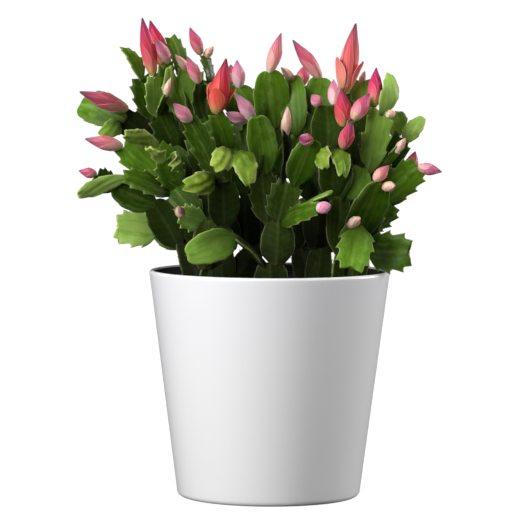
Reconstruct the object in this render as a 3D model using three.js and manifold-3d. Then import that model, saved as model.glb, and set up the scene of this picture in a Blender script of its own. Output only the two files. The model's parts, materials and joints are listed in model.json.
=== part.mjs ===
// A potted Christmas cactus in bud: a white cover pot, the black nursery pot inside it, the potting mix, and
// five rooted cuttings whose flat toothed segments fork upwards and outwards and end in pink buds.
// Millimetres, +Z up. The origin is the middle of the cover pot's flat underside, and -Y faces the viewer.
import * as THREE from "three";
import { mergeVertices } from "three/addons/utils/BufferGeometryUtils.js";
import Module from "manifold-3d";

const wasm = await Module();
wasm.setup();

// Driving dimensions of the cover pot
const POT_HEIGHT = 134;
const RIM_RADIUS = 71.5;
const BASE_RADIUS = 53.9; // where the straight side would meet the ground
const POT_WALL = 3.4;
const POT_FLOOR = 7;
const CORNER_RADIUS = 3.5; // round edge between the side and the base
const LIP_PROUD = 0.2; // how far the round lip stands out of the side
const LIP_HEIGHT = 4;
const POT_SIDES = 40;
const CORNER_STEPS = 4;
const LIP_STEPS = 4;

// Driving dimensions of the nursery pot, which stands on the cover pot's floor
const NURSERY_HEIGHT = 122;
const NURSERY_TOP_RADIUS = 62.6;
const NURSERY_BASE_RADIUS = 43.5;
const NURSERY_WALL = 1.3;
const NURSERY_RIM_WIDTH = 1.7; // how far the rolled rim stands out of the wall
const NURSERY_RIM_DEPTH = 5;
const NURSERY_SIDES = 32; // the mix has as many, so its side runs parallel to the wall
const DRAIN_HOLES = 4;
const DRAIN_RADIUS = 4;
const DRAIN_CIRCLE_RADIUS = 28;
const DRAIN_SIDES = 8;

// Driving dimensions of the potting mix and of the cuttings' roots in it
const SOIL_TOP = 116;
const SOIL_RINGS = [46, 28, 10]; // radii where its uneven top has vertices
const SOIL_LUMP_HEIGHT = 1.2;
const SOIL_LUMP_LENGTH = 9; // distance over which a lump rises and falls
const ROOT_DEPTH = 22; // how far a cutting stands in the mix
const GAP = 0.3; // clearance between pieces that touch

// A flat segment: shares of its length and of its half width at each point of one edge, from base to tip
const OLD_EDGE = [
  [0.0, 0.3],
  [0.22, 0.78],
  [0.52, 1.0],
  [0.8, 0.88],
  [1.0, 0.5],
];
const MATURE_EDGE = [
  [0.0, 0.16],
  [0.2, 0.64],
  [0.41, 1.02],
  [0.43, 0.84],
  [0.7, 1.02],
  [0.72, 0.76],
  [0.98, 0.7],
  [1.0, 0.4],
];
const YOUNG_EDGE = [
  [0.0, 0.2],
  [0.3, 0.86],
  [0.66, 1.0],
  [0.7, 0.78],
  [1.0, 0.42],
];
const RIB_STATIONS = [0.2, 0.58, 0.93]; // shares of the length where the rib has vertices
const TIP_NOTCH = 1 - RIB_STATIONS[2]; // the hollow between the two horns of a tip
const NOTCH_REACH = 0.4; // half width of that hollow, as a share of the half width
const TOOTH_OFFSET = 0.04; // how much nearer the base the teeth of one edge sit than those of the other
const JOINT_DEPTH = 1.5; // how far a segment's base is sunk below the bottom of the notch that carries it
const JOINT_SPREAD = 0.3; // how far off the middle of a tip a joint may sit, as a share of the width

// For each kind of segment, its edge, its thickness at the rib, the rise of its middle as a share of the length,
// and the forward stand of its edges as a share of the half width
const SEGMENT_FORMS = {
  old: { edge: OLD_EDGE, thickness: 4.6, arch: 0.03, fold: 0.05 },
  leaf: { edge: MATURE_EDGE, thickness: 3, arch: 0.06, fold: 0.12 },
  young: { edge: YOUNG_EDGE, thickness: 2, arch: 0.17, fold: 0.3 },
};
const SCRAP_VOLUME = 1; // bodies smaller than this are scraps that a cut leaves, or pockets that a join seals
const STEM_THICKNESS = 5;
const STEM_SIDES = 8;

// Buds, ring by ring from the base: shares of the length and of the greatest radius, at the even corners and
// at the odd ones. An outer whorl of petals ends in points at the even corners, an inner one at the odd ones.
const CLOSED_BUD = [
  [[0.0, 0.34], [0.0, 0.34]],
  [[0.14, 0.74], [0.12, 0.64]],
  [[0.52, 1.04], [0.3, 0.92]],
  [[0.47, 0.82], [0.34, 0.82]],
  [[0.64, 0.54], [0.8, 0.56]],
];
const OPENING_BUD = [
  [[0.0, 0.34], [0.0, 0.34]],
  [[0.14, 0.78], [0.12, 0.6]],
  [[0.5, 1.7], [0.28, 0.8]],
  [[0.4, 0.84], [0.33, 0.68]],
  [[0.62, 0.56], [0.84, 0.74]],
];
const TINY_BUD = [
  [[0.0, 0.5], [0.0, 0.5]],
  [[0.45, 1.0], [0.45, 1.0]],
];
const BUD_FORMS = {
  bud: { rings: CLOSED_BUD, sides: 6 },
  open: { rings: OPENING_BUD, sides: 6 },
  tiny: { rings: TINY_BUD, sides: 4 },
};
const UNDER_PETALS = 3; // the ring that lies under the outer petals' points
const BUD_TWIST = 0.9; // turn of the petals from base to tip, in radians

// Each cutting as an outline: a line is one piece, deeper indentation grows from the tip of the line above.
// Kind, then the far end x y z, then the width and the compass turn of its face, 0 towards the viewer.
const CUTTINGS = {
  left: `
stub -40 -10 121 9 20
  old -37 -16 138 12 50
    old -36 -12 165 17 15
      leaf -53 -26 168 15 20
        tiny -53 -36 173 6 0
      leaf -57 -7 183 16 10
        leaf -86 -23 190 14 90
          young -111 -36 179 10 40
        leaf -88 -9 208 17 0
          bud -108.5 -15 211.5 8.5 0
        leaf -62 -20 200 17 10
          young -72 -34 204 11 -30
          young -54 -39 197 11 40
        leaf -67 -9 208 15 20
          young -83 -26 213 11 -20
      leaf -51 7 186 16 20
        leaf -60 10 206 17 0
          leaf -88 6 224.5 18 0
            bud -112 -12 239 9.5 0
            leaf -113.5 20 236 16 10
            young -99.5 -9 214 10.5 0
          leaf -66 7 227 17 15
            leaf -77 -1 248 16 10
              leaf -87 12 265 11 45
            leaf -69 -7 249 12 25
              bud -75.5 -12 282.5 9 0
            leaf -63 8 254 11 10
              bud -71.5 10 281 10 0
            leaf -60 -3 257 9 30
              bud -67 -15 270 7 0
            leaf -61 -12 239 9 45
      leaf -42 4 192 18 10
        leaf -43 7 225 18 15
          leaf -49 4 254 18 0
            tiny -56 -7 261 5 0
          leaf -42 -7 245 11 40
            bud -49 -12 260 7 0
          leaf -36 15 245 13 35
            leaf -40 15 261 9 45
              bud -48 10 277 7 0
              tiny -34 10 266 5 0
          leaf -53 18 250 13 40
            leaf -60 15 272 12 40
          young -58 -9 254 12 45
    old -26 -18 161 16 -10
      leaf -28 -28 190 18 0
        young -47 -47 186 14 0
        leaf -47 -34 224 15 -15
          bud -56 -42 233 8 0
        leaf -24 -17 207 15 -10
          leaf -32 -23 227 15 -20
            open -26 -28 259 13 0
        leaf -20 -44 206 14 10
          young -31 -58 198 14 -10
          young -12 -61 190 14 10
  old -52 -6 151 15 40
    leaf -69 -12 175 19 0
      leaf -92 -17 184 18 0
        leaf -102 -17 191 13 0
          bud -112 -20 193 6 0
    leaf -68 12 156 13 0
      leaf -92 10 159 21 0
`,
  front: `
stub 2 -14 121 11 0
  old 0 -16 140 20 0
    old 5 -16 164 20 5
      leaf 11 -20 188 19 -5
        leaf 24.5 -35 212.5 18 10
          bud 16.5 -44 214 7 0
        leaf 9 -15 217 12 60
      leaf 35 -42 182 14 -125
      leaf 28 -47 173 13 -110
        bud 35 -54 175 7 0
      leaf -5 -17 194 17 0
        leaf -8 -34 226 17 0
        leaf -12 -15 222 14 -20
          bud -20 -26 238.5 8 0
          bud -26 -28 227.5 7 0
      leaf 2 10 192 17 0
        leaf 0 7 221 17 0
          leaf -1 2 252 21 0
            bud 6 2 274 8 0
          leaf -19 10 242 14 10
            bud -20 7 258 8 0
        leaf 20 4 214 16 0
          leaf 13 14 249 16 -10
            tiny 6 -4 254 5 0
          leaf 27 10 226 16 0
            leaf 30 15 248 18 0
              bud 13 10 270 8.5 0
    old -21 -26 155.5 12 100
      leaf -48.5 -42 145 18.5 0
`,
  right: `
stub 44 -10 121 10 30
  old 43 -14 148 14 35
    old 41 -19 180 16 20
      leaf 37 -28 207 17 10
        bud 47 -40 223 8.5 0
        young 43 -47 195 12 20
        young 30 -47 199 12 -20
      leaf 39 -12 207 18 -10
        leaf 33 -17 232 20 -10
          bud 24 -20 238 7 0
          bud 37 -7 247 7 0
        leaf 43 -15 219 13 -30
          bud 41.5 -20 242 10 0
        leaf 43 2 239 14 0
          open 50 -1 280 13 0
      leaf 53 -15 196 18 0
        leaf 65 -20 230 16 -10
          tiny 73 -17 228 5 0
          young 71 -9 251 12 30
          bud 62 -9 254 8.5 0
        leaf 48 -28 224.5 13 40
          bud 57.5 -23 239 9 0
        leaf 54 10 222 16 0
          leaf 54 12 247 17 0
            tiny 56 12 252 4 0
    old 50 -28 163 14 0
      tiny 52 -46 167.5 6 0
      leaf 47 -42 137 20 0
  old 54 -8 150 16 0
    leaf 64 -34 188 21 20
      bud 69 -36 197.5 7 0
      tiny 72 -44 186 6 0
    leaf 62 4 178 16 0
      leaf 88 -7 197 19 0
        bud 101 -9 193 7 0
      leaf 78 -1 215 16 0
        young 76 -7 228 12 0
        young 90 -4 225 10 -20
      leaf 76 -15 208 9 40
        tiny 79 -17 213 5 0
    leaf 83 -24 146 23 0
`,
  back_left: `
stub -26 17 121 9 180
  old -28 21 147 16 170
    old -32 24 174 18 180
      leaf -44 28 200 18 190
        leaf -56 31 221 18 180
          leaf -62 35 240 16 170
            bud -66 38 256 9 0
          leaf -76 36 226 15 200
        leaf -72 43 196 17 200
          bud -82 54 204 8 0
      leaf -22 31 203 18 180
        leaf -16 33 226 18 180
          leaf -6 50 236 15 170
          leaf -22 33 244 15 200
            bud -24 36 255 8 0
          bud -6 38 240 9 0
        leaf -32 47 218 16 160
          bud -36 57 230 9 0
      leaf -34 50 186 18 180
        leaf -20 68 200 17 190
          leaf -14 82 212 14 180
        leaf -40 70 196 17 200
    leaf -58 36 156 18 200
      leaf -78 45 168 20 200
        leaf -86 52 152 17 200
          bud -92 60 146 7 0
        bud -90 54 182 9 0
    leaf -38 47 154 17 180
      leaf -44 70 150 20 180
  old -8 24 146 16 180
    leaf -15 24 176 18 180
      leaf -7 20 203 17 180
    leaf 4 45 168 18 180
      leaf -2 62 182 17 170
        bud -6 76 194 8 0
    leaf -4 52 154 19 180
      leaf -10 75 160 17 180
        bud -14 90 168 8 0
      leaf 10 69 146 18 180
`,
  back_right: `
stub 26 13 121 9 160
  old 31 19 147 16 180
    old 31 22 176 18 180
      leaf 40 26 202 18 180
        leaf 52 29 222 18 180
          bud 60 32 238 9 0
          leaf 44 33 242 16 170
        leaf 64 38 210 16 170
      leaf 16 29 203 18 190
        leaf 12 31 226 18 180
          leaf 18 33 243 14 160
            bud 21 36 255 8 0
          bud 4 40 239 8 0
        leaf 22 47 217 16 200
          bud 26 57 230 9 0
      leaf 34 49 188 18 180
        leaf 20 68 186 17 190
          leaf 12 84 194 15 180
        leaf 40 68 200 16 160
          bud 46 79 213 9 0
          young 34 80 196 11 180
    leaf 54 33 162 18 160
      leaf 66 44 186 18 150
        leaf 76 56 202 16 150
      leaf 74 40 172 19 160
        leaf 84 46 190 14 150
          bud 88 50 203 8 0
      leaf 62 56 162 17 150
        bud 68 70 170 9 0
  old 18 28 146 15 190
    leaf 16 30 172 16 180
    leaf 22 52 166 18 200
      leaf 16 70 170 16 180
    leaf 36 54 152 19 150
      leaf 42 77 146 18 180
      leaf 56 66 148 17 125
`,
};

const KINDS_OF_BUD = ["bud", "open"]; // these are nodes of their own, and a tiny bud is one with its segment

const vector = (x, y, z) => new THREE.Vector3(x, y, z);

// Makes a closed indexed surface a solid.
function solidOf(geometry) {
  const bare = geometry.clone();
  bare.deleteAttribute("normal");
  bare.deleteAttribute("uv");
  const merged = mergeVertices(bare, 1e-4);
  return new wasm.Manifold(
    new wasm.Mesh({
      numProp: 3,
      vertProperties: new Float32Array(merged.attributes.position.array),
      triVerts: new Uint32Array(merged.index.array),
    }),
  );
}

function geometryOf(solid) {
  const { numProp, vertProperties, triVerts } = solid.getMesh();
  const positions = new Float32Array((vertProperties.length / numProp) * 3);
  for (let i = 0; i < positions.length / 3; i++) {
    positions.set(vertProperties.subarray(i * numProp, i * numProp + 3), i * 3);
  }
  const geometry = new THREE.BufferGeometry();
  geometry.setAttribute("position", new THREE.BufferAttribute(positions, 3));
  geometry.setIndex(new THREE.BufferAttribute(triVerts, 1));
  geometry.computeVertexNormals();
  return geometry;
}

// A solid from points and triangles, whichever way round they run.
function polyhedron(points, triangles) {
  const geometry = new THREE.BufferGeometry();
  geometry.setAttribute("position", new THREE.Float32BufferAttribute(points.flatMap((p) => p.toArray()), 3));
  geometry.setIndex(triangles.flat());
  const solid = solidOf(geometry);
  if (solid.volume() > 0) return solid;
  geometry.setIndex(triangles.map(([a, b, c]) => [a, c, b]).flat());
  return solidOf(geometry);
}

// Turns a profile of [radius, height] pairs round the Z axis.
function lathe(profile, sides) {
  const geometry = new THREE.LatheGeometry(
    profile.map(([radius, height]) => new THREE.Vector2(radius, height)),
    sides,
  );
  return geometry.rotateX(Math.PI / 2);
}

// Points of an arc in a lathe profile, from one angle to another in radians.
function arc(centreRadius, centreHeight, radius, from, to, steps) {
  return Array.from({ length: steps + 1 }, (_, i) => {
    const angle = from + ((to - from) * i) / steps;
    return [centreRadius + radius * Math.cos(angle), centreHeight + radius * Math.sin(angle)];
  });
}

// The cover pot: a straight taper on a round corner, a round lip a little proud of the side, and a flat base.
function coverPot() {
  const taper = (RIM_RADIUS - LIP_PROUD - BASE_RADIUS) / POT_HEIGHT;
  const lean = Math.atan(taper);
  const side = (z) => BASE_RADIUS + taper * z;
  const cornerCentre = side(CORNER_RADIUS) - CORNER_RADIUS / Math.cos(lean);
  const inside = (z) => side(z) - POT_WALL;
  const lip = (POT_WALL + LIP_PROUD) / 2;
  const lipCentre = RIM_RADIUS - lip;
  const innerCorner = POT_WALL;
  const innerCentre = inside(POT_FLOOR) - innerCorner;
  const profile = [
    [0, 0],
    ...arc(cornerCentre, CORNER_RADIUS, CORNER_RADIUS, -Math.PI / 2, -lean, CORNER_STEPS),
    [side(POT_HEIGHT - LIP_HEIGHT - LIP_PROUD), POT_HEIGHT - LIP_HEIGHT - LIP_PROUD],
    [RIM_RADIUS, POT_HEIGHT - LIP_HEIGHT + LIP_PROUD],
    ...arc(lipCentre, POT_HEIGHT - lip, lip, 0, Math.PI, LIP_STEPS),
    [inside(POT_HEIGHT - LIP_HEIGHT - LIP_PROUD), POT_HEIGHT - LIP_HEIGHT - LIP_PROUD],
    ...arc(innerCentre, POT_FLOOR + innerCorner, innerCorner, 0, -Math.PI / 2, CORNER_STEPS / 2),
    [0, POT_FLOOR],
  ];
  return lathe(profile, POT_SIDES);
}

// The nursery pot: thin plastic with a rolled rim, and drain holes through its bottom.
function nurseryPot() {
  const top = POT_FLOOR + NURSERY_HEIGHT;
  const rim = NURSERY_TOP_RADIUS + NURSERY_RIM_WIDTH;
  const shell = solidOf(
    lathe(
      [
        [0, POT_FLOOR],
        [NURSERY_BASE_RADIUS, POT_FLOOR],
        [NURSERY_TOP_RADIUS, top - NURSERY_RIM_DEPTH],
        [rim, top - NURSERY_RIM_DEPTH],
        [rim, top - NURSERY_WALL],
        [rim - NURSERY_WALL, top],
        [NURSERY_TOP_RADIUS - NURSERY_WALL, top],
        [NURSERY_BASE_RADIUS - NURSERY_WALL, POT_FLOOR + NURSERY_WALL],
        [0, POT_FLOOR + NURSERY_WALL],
      ],
      NURSERY_SIDES,
    ),
  );
  const holes = Array.from({ length: DRAIN_HOLES }, (_, i) => {
    const angle = (2 * Math.PI * i) / DRAIN_HOLES;
    const drill = new THREE.CylinderGeometry(DRAIN_RADIUS, DRAIN_RADIUS, 4 * NURSERY_WALL, DRAIN_SIDES);
    drill.rotateX(Math.PI / 2);
    drill.translate(DRAIN_CIRCLE_RADIUS * Math.cos(angle), DRAIN_CIRCLE_RADIUS * Math.sin(angle), POT_FLOOR);
    return solidOf(drill);
  });
  return shell.subtract(wasm.Manifold.union(holes));
}

// The potting mix: it fills the nursery pot up to an uneven top, and has a plain hole round each root.
function pottingMix(roots) {
  const floor = POT_FLOOR + NURSERY_WALL;
  const slope = (NURSERY_TOP_RADIUS - NURSERY_BASE_RADIUS) / (NURSERY_HEIGHT - NURSERY_WALL);
  const wall = (z) => NURSERY_BASE_RADIUS - NURSERY_WALL + slope * (z - floor) - 2 * GAP;
  const rings = [[wall(floor), floor], [wall(SOIL_TOP), SOIL_TOP], ...SOIL_RINGS.map((r) => [r, SOIL_TOP])];
  const geometry = lathe([[0, floor], ...rings, [0, SOIL_TOP]], NURSERY_SIDES);
  const position = geometry.attributes.position;
  for (let i = 0; i < position.count; i++) {
    if (position.getZ(i) > floor + 1) {
      const x = position.getX(i) / SOIL_LUMP_LENGTH;
      const y = position.getY(i) / SOIL_LUMP_LENGTH;
      position.setZ(i, SOIL_TOP + SOIL_LUMP_HEIGHT * Math.sin(2 * x + y) * Math.cos(2 * y - x));
    }
  }
  return solidOf(geometry).subtract(wasm.Manifold.union(roots));
}

// Reads a cutting's outline into items, and works out where each lies.
function readCutting(text) {
  const items = [];
  const above = [];
  for (const line of text.split("\n").filter((l) => l.trim())) {
    const depth = (line.length - line.trimStart().length) / 2;
    const [kind, ...numbers] = line.trim().split(" ");
    const [x, y, z, width, face] = numbers.map(Number);
    const item = { kind, width, face, tip: vector(x, y, z), parent: above[depth - 1], branches: [] };
    item.parent?.branches.push(item);
    above[depth] = item;
    items.push(item);
  }
  items.forEach(placeItem);
  return items;
}

// The branches of one tip sit side by side across it, in the order in which they reach out.
function jointAcross(item) {
  const { branches, side, tip, width } = item.parent;
  const reach = (branch) => branch.tip.clone().sub(tip).dot(side);
  const order = branches.toSorted((a, b) => reach(a) - reach(b));
  const share = branches.length > 1 ? (2 * order.indexOf(item)) / (branches.length - 1) - 1 : 0;
  return share * JOINT_SPREAD * width * Math.min(1, branches.length / 3);
}

// Works out an item's base, and its axis, normal and side as unit vectors.
function placeItem(item) {
  const { tip, parent, kind } = item;
  if (!parent) {
    item.base = vector(tip.x, tip.y, SOIL_TOP - ROOT_DEPTH);
  } else {
    const across = jointAcross(item);
    item.base = parent.tip.clone().addScaledVector(parent.side, across);
    const way = tip.clone().sub(item.base).normalize();
    const notch = TIP_NOTCH * parent.length;
    if (KINDS_OF_BUD.includes(kind)) {
      const foot = (BUD_FORMS[kind].rings[0][0][1] * item.width) / 2;
      const notchEnd = (NOTCH_REACH * parent.width) / 2;
      const depth = notch * Math.max(0, 1 - (Math.abs(across) + foot) / notchEnd);
      item.base.addScaledVector(parent.axis, -depth).addScaledVector(way, GAP);
    } else {
      item.base.addScaledVector(parent.axis, -notch).addScaledVector(way, -JOINT_DEPTH);
    }
  }
  const face = THREE.MathUtils.degToRad(item.face);
  item.length = tip.distanceTo(item.base);
  item.axis = tip.clone().sub(item.base).normalize();
  item.normal = vector(Math.sin(face), -Math.cos(face), 0);
  item.normal.addScaledVector(item.axis, -item.normal.dot(item.axis)).normalize();
  item.side = item.axis.clone().cross(item.normal);
}

// A point of an item, from its distance along, its distance across and its height over the middle plane.
function at(item, along, across, height) {
  return item.base
    .clone()
    .addScaledVector(item.axis, along)
    .addScaledVector(item.side, across)
    .addScaledVector(item.normal, height);
}

// One flat segment: a thick rib that runs out to two toothed edges, arched along and folded across.
function segmentSolid(item) {
  const form = SEGMENT_FORMS[item.kind];
  const arch = form.arch * item.length * (item.normal.z < 0 ? -1 : 1);
  const points = [];
  const addPoint = (u, v, height) => {
    const lift = 4 * arch * u * (1 - u);
    const stand = form.fold * Math.abs(v) * (item.width / 2) * Math.sin(Math.PI * u);
    points.push(at(item, u * item.length, (v * item.width) / 2, lift + stand + height));
    return points.length - 1;
  };
  const addEdge = (hand) =>
    form.edge.map(([u, v], i) => {
      const isTooth = i > 0 && i < form.edge.length - 1;
      const along = isTooth && hand < 0 ? u - TOOTH_OFFSET : u;
      return { u: along, index: addPoint(along, hand * v, 0) };
    });
  const addRib = (face) =>
    RIB_STATIONS.map((u) => ({ u, index: addPoint(u, 0, (face * form.thickness) / 2) }));
  const [right, left] = [addEdge(1), addEdge(-1)];
  const [top, under] = [addRib(1), addRib(-1)];
  const triangles = [];
  for (const [rib, face] of [[top, 1], [under, -1]]) {
    const skin = (a, b, c) => triangles.push(face > 0 ? [a, b, c] : [b, a, c]);
    skin(rib[0].index, left[0].index, right[0].index);
    spanRibAndEdge(rib, right, skin);
    spanRibAndEdge(rib, left, (a, b, c) => skin(b, a, c));
  }
  const [ribTop, ribUnder, rightHorn, leftHorn] = [top, under, right, left].map((row) => row.at(-1).index);
  triangles.push([ribTop, rightHorn, ribUnder], [leftHorn, ribTop, ribUnder]);
  return polyhedron(points, triangles);
}

// Spans a rib and an edge with triangles, stepping along whichever comes next.
function spanRibAndEdge(rib, edge, skin) {
  let e = 0;
  let r = 0;
  while (e < edge.length - 1 || r < rib.length - 1) {
    const edgeNext = r === rib.length - 1 || (e < edge.length - 1 && edge[e + 1].u <= rib[r + 1].u);
    skin(rib[r].index, edge[e].index, edgeNext ? edge[e + 1].index : rib[r + 1].index);
    if (edgeNext) e += 1;
    else r += 1;
  }
}

// The buried foot of a cutting, an oval peg. Grown by a clearance, it is the hole in the mix.
function footSolid(item, grow = 0) {
  const points = [item.base.clone(), item.tip.clone()];
  points[0].z -= grow;
  points[1].z += grow ? ROOT_DEPTH : 0;
  for (const end of points.slice(0, 2)) {
    for (let i = 0; i < STEM_SIDES; i++) {
      const angle = (2 * Math.PI * i) / STEM_SIDES;
      points.push(
        end
          .clone()
          .addScaledVector(item.side, (item.width / 2 + grow) * Math.cos(angle))
          .addScaledVector(item.normal, (STEM_THICKNESS / 2 + grow) * Math.sin(angle)),
      );
    }
  }
  const triangles = [];
  for (let i = 0; i < STEM_SIDES; i++) {
    const next = (i + 1) % STEM_SIDES;
    const [a, b, c, d] = [2 + i, 2 + next, 2 + STEM_SIDES + i, 2 + STEM_SIDES + next];
    triangles.push([0, b, a], [1, c, d], [a, b, c], [c, b, d]);
  }
  return polyhedron(points, triangles);
}

// A bud: rings of corners from the base, then a point. Grown by a clearance, it is the room that it needs,
// with nothing reaching in under its petals.
function budSolid(item, grow = 0) {
  const { sides } = BUD_FORMS[item.kind];
  const rings = BUD_FORMS[item.kind].rings.filter((ring, i) => !grow || i !== UNDER_PETALS);
  const along = (share) => share * (item.length + 2 * grow) - grow;
  const points = [at(item, along(0), 0, 0), at(item, along(1), 0, 0)];
  for (const corners of rings) {
    for (let i = 0; i < sides; i++) {
      const [share, reach] = corners[i % 2];
      const radius = (reach * item.width) / 2 + grow;
      const angle = (2 * Math.PI * i) / sides + BUD_TWIST * share;
      points.push(at(item, along(share), radius * Math.cos(angle), radius * Math.sin(angle)));
    }
  }
  const triangles = [];
  const last = points.length - sides;
  for (let i = 0; i < sides; i++) {
    const next = (i + 1) % sides;
    triangles.push([0, 2 + next, 2 + i], [1, last + i, last + next]);
    for (let ring = 2; ring < last; ring += sides) {
      triangles.push([ring + i, ring + next, ring + sides + i]);
      triangles.push([ring + sides + i, ring + next, ring + sides + next]);
    }
  }
  return polyhedron(points, triangles);
}

// The colours of the real thing, as smooth or matt as they are
const LOOKS = {
  pot: { color: 0xe9e9eb, roughness: 0.38, metalness: 0 },
  nursery: { color: 0x141614, roughness: 0.55, metalness: 0 },
  mix: { color: 0x2b1f16, roughness: 0.95, metalness: 0 },
  cactus: { color: 0x3c6b1c, roughness: 0.45, metalness: 0 },
  bud: { color: 0xd9536a, roughness: 0.5, metalness: 0 },
};

const cactus = new THREE.Group();
function addPiece(name, geometry, look) {
  const piece = new THREE.Mesh(geometry, new THREE.MeshStandardMaterial(LOOKS[look]));
  piece.name = name;
  cactus.add(piece);
}

const cuttings = Object.entries(CUTTINGS).map(([name, text]) => ({ name, items: readCutting(text) }));
const roots = cuttings.map(({ items }) => footSolid(items[0], GAP));
const buds = cuttings.flatMap(({ name, items }) =>
  items
    .filter((item) => KINDS_OF_BUD.includes(item.kind))
    .map((item, i) => ({ name: `${name}_bud_${i + 1}`, item })),
);
const budRooms = buds.map(({ item }) => budSolid(item, GAP));

addPiece("cover_pot", coverPot(), "pot");
addPiece("nursery_pot", geometryOf(nurseryPot()), "nursery");
addPiece("potting_mix", geometryOf(pottingMix(roots)), "mix");
for (const { name, items } of cuttings) {
  const grown = items.slice(1).filter((item) => !KINDS_OF_BUD.includes(item.kind));
  const parts = grown.map((item) => (item.kind === "tiny" ? budSolid(item) : segmentSolid(item)));
  let green = wasm.Manifold.union([footSolid(items[0]), ...parts]);
  for (const room of budRooms) {
    if (!green.intersect(room).isEmpty()) green = green.subtract(room);
  }
  const bodies = green.decompose().filter((body) => body.volume() > SCRAP_VOLUME);
  addPiece(`${name}_cutting`, geometryOf(wasm.Manifold.union(bodies)), "cactus");
}
for (const { name, item } of buds) {
  addPiece(name, geometryOf(budSolid(item)), "bud");
}

export default cactus;
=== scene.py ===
# %% [markdown]
# # A Christmas cactus in bud, dressed in Blender
# The plant stands in a white cover pot with a black nursery pot inside it. Five rooted cuttings fork again
# and again into flat toothed segments, and the last segments carry pink buds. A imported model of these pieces
# is the frame of this scene. It could be shown as it is, but its segments and buds have only a few flat
# faces each, so each of them is modelled again here, finer, in exactly the place that the frame gives it.

import json
import math
import random

import bmesh
import bpy
from mathutils import Matrix, Vector
from mathutils.bvhtree import BVHTree

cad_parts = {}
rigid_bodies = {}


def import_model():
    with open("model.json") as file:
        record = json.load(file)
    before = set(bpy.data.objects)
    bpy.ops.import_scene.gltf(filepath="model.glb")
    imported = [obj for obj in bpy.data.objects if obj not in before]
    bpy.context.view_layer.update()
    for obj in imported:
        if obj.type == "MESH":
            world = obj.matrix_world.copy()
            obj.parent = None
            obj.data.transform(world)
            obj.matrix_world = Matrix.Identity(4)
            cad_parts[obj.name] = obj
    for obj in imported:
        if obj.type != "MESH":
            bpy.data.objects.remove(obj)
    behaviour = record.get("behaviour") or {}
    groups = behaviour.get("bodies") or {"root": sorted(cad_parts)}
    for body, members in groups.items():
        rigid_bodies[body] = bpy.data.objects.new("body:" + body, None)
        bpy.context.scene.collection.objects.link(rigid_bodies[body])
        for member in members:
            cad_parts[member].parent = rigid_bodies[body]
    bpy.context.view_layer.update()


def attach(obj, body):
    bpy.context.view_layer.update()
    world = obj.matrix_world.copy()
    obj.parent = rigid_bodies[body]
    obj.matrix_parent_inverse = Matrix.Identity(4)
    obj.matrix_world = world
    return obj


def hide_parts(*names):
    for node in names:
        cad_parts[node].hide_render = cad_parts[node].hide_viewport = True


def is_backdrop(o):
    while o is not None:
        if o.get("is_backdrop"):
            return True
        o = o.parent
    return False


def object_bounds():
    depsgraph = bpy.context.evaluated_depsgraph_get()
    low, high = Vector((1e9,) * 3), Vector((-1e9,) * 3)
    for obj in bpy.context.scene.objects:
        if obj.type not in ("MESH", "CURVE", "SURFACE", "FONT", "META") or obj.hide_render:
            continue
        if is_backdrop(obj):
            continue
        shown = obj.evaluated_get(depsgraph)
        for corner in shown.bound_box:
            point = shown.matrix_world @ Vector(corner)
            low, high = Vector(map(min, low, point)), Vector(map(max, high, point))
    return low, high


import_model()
MM = 0.001

# %% [markdown]
# ## Camera
# A product photograph like this is taken with a long lens from a little above the rim, so the pot's sides
# hardly converge and its rim is a thin ellipse. The camera could be placed by eye. Here its distance,
# height and tilt are worked out from how thick the rim's ellipse is, which makes the outlines agree.

# %% Place the camera
PICTURE_SIZE = 520
FOCAL_LENGTH = 3386  # in picture points
SENSOR_WIDTH = 36
CAMERA_PLACE = (-5.7 * MM, -2000 * MM, 271 * MM)
TILT_DOWN = 3.75
ROLL = 0.3

lens = bpy.data.cameras.new("photo camera")
lens.sensor_width = SENSOR_WIDTH
lens.lens = FOCAL_LENGTH / PICTURE_SIZE * SENSOR_WIDTH
camera = bpy.data.objects.new("photo camera", lens)
bpy.context.scene.collection.objects.link(camera)
camera.matrix_world = (
    Matrix.Translation(CAMERA_PLACE)
    @ Matrix.Rotation(math.radians(90 - TILT_DOWN), 4, "X")
    @ Matrix.Rotation(math.radians(ROLL), 4, "Z")
)
bpy.context.scene.camera = camera
print(f"a {lens.lens:.0f} mm lens, {-CAMERA_PLACE[1]:.0f} m away")

# %% [markdown]
# ## Light and floor
# The pot is brightest on its left, darkest a little right of the middle and paler again at its right edge:
# one large soft light stands on the left, and another behind on the right, which also gives the leaves their
# bright edges. The rim and the upper segments get a weak light from overhead. Area lights would do, but
# they fade with distance and leave a grey far floor. Distant lights with a wide angle are as soft and reach
# everything alike. Each was rendered alone first, and their strengths were weighed so that the pot's shading
# agrees.

# %% Hang the soft lights
LIGHT_DISTANCE = 1.5  # only so that it can be found, as a distant light shines the same from anywhere


def add_soft_light(name, azimuth, elevation, width, strength):
    """Azimuth 0 is where the camera stands, and a minus sign is to its left. Width is an angle too."""
    data = bpy.data.lights.new(name, "SUN")
    data.angle = math.radians(width)
    data.energy = strength
    light = bpy.data.objects.new(name, data)
    bpy.context.scene.collection.objects.link(light)
    turn, rise = math.radians(azimuth), math.radians(elevation)
    away = Vector((math.sin(turn) * math.cos(rise), -math.cos(turn) * math.cos(rise), math.sin(rise)))
    light.location = away * LIGHT_DISTANCE
    light.rotation_euler = away.to_track_quat("Z", "Y").to_euler()


add_soft_light("key light", -44, 20, 46, 3.6)
add_soft_light("right light", 109, 14, 20, 2.75)
add_soft_light("top light", -20, 78, 40, 0.8)
print("three soft lights")

# %% [markdown]
# The world, the floor and every finish below are small trees of shader nodes. Setting each node up by hand
# takes four or five lines, so one function adds a node with its inputs, and another starts a finish.

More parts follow.
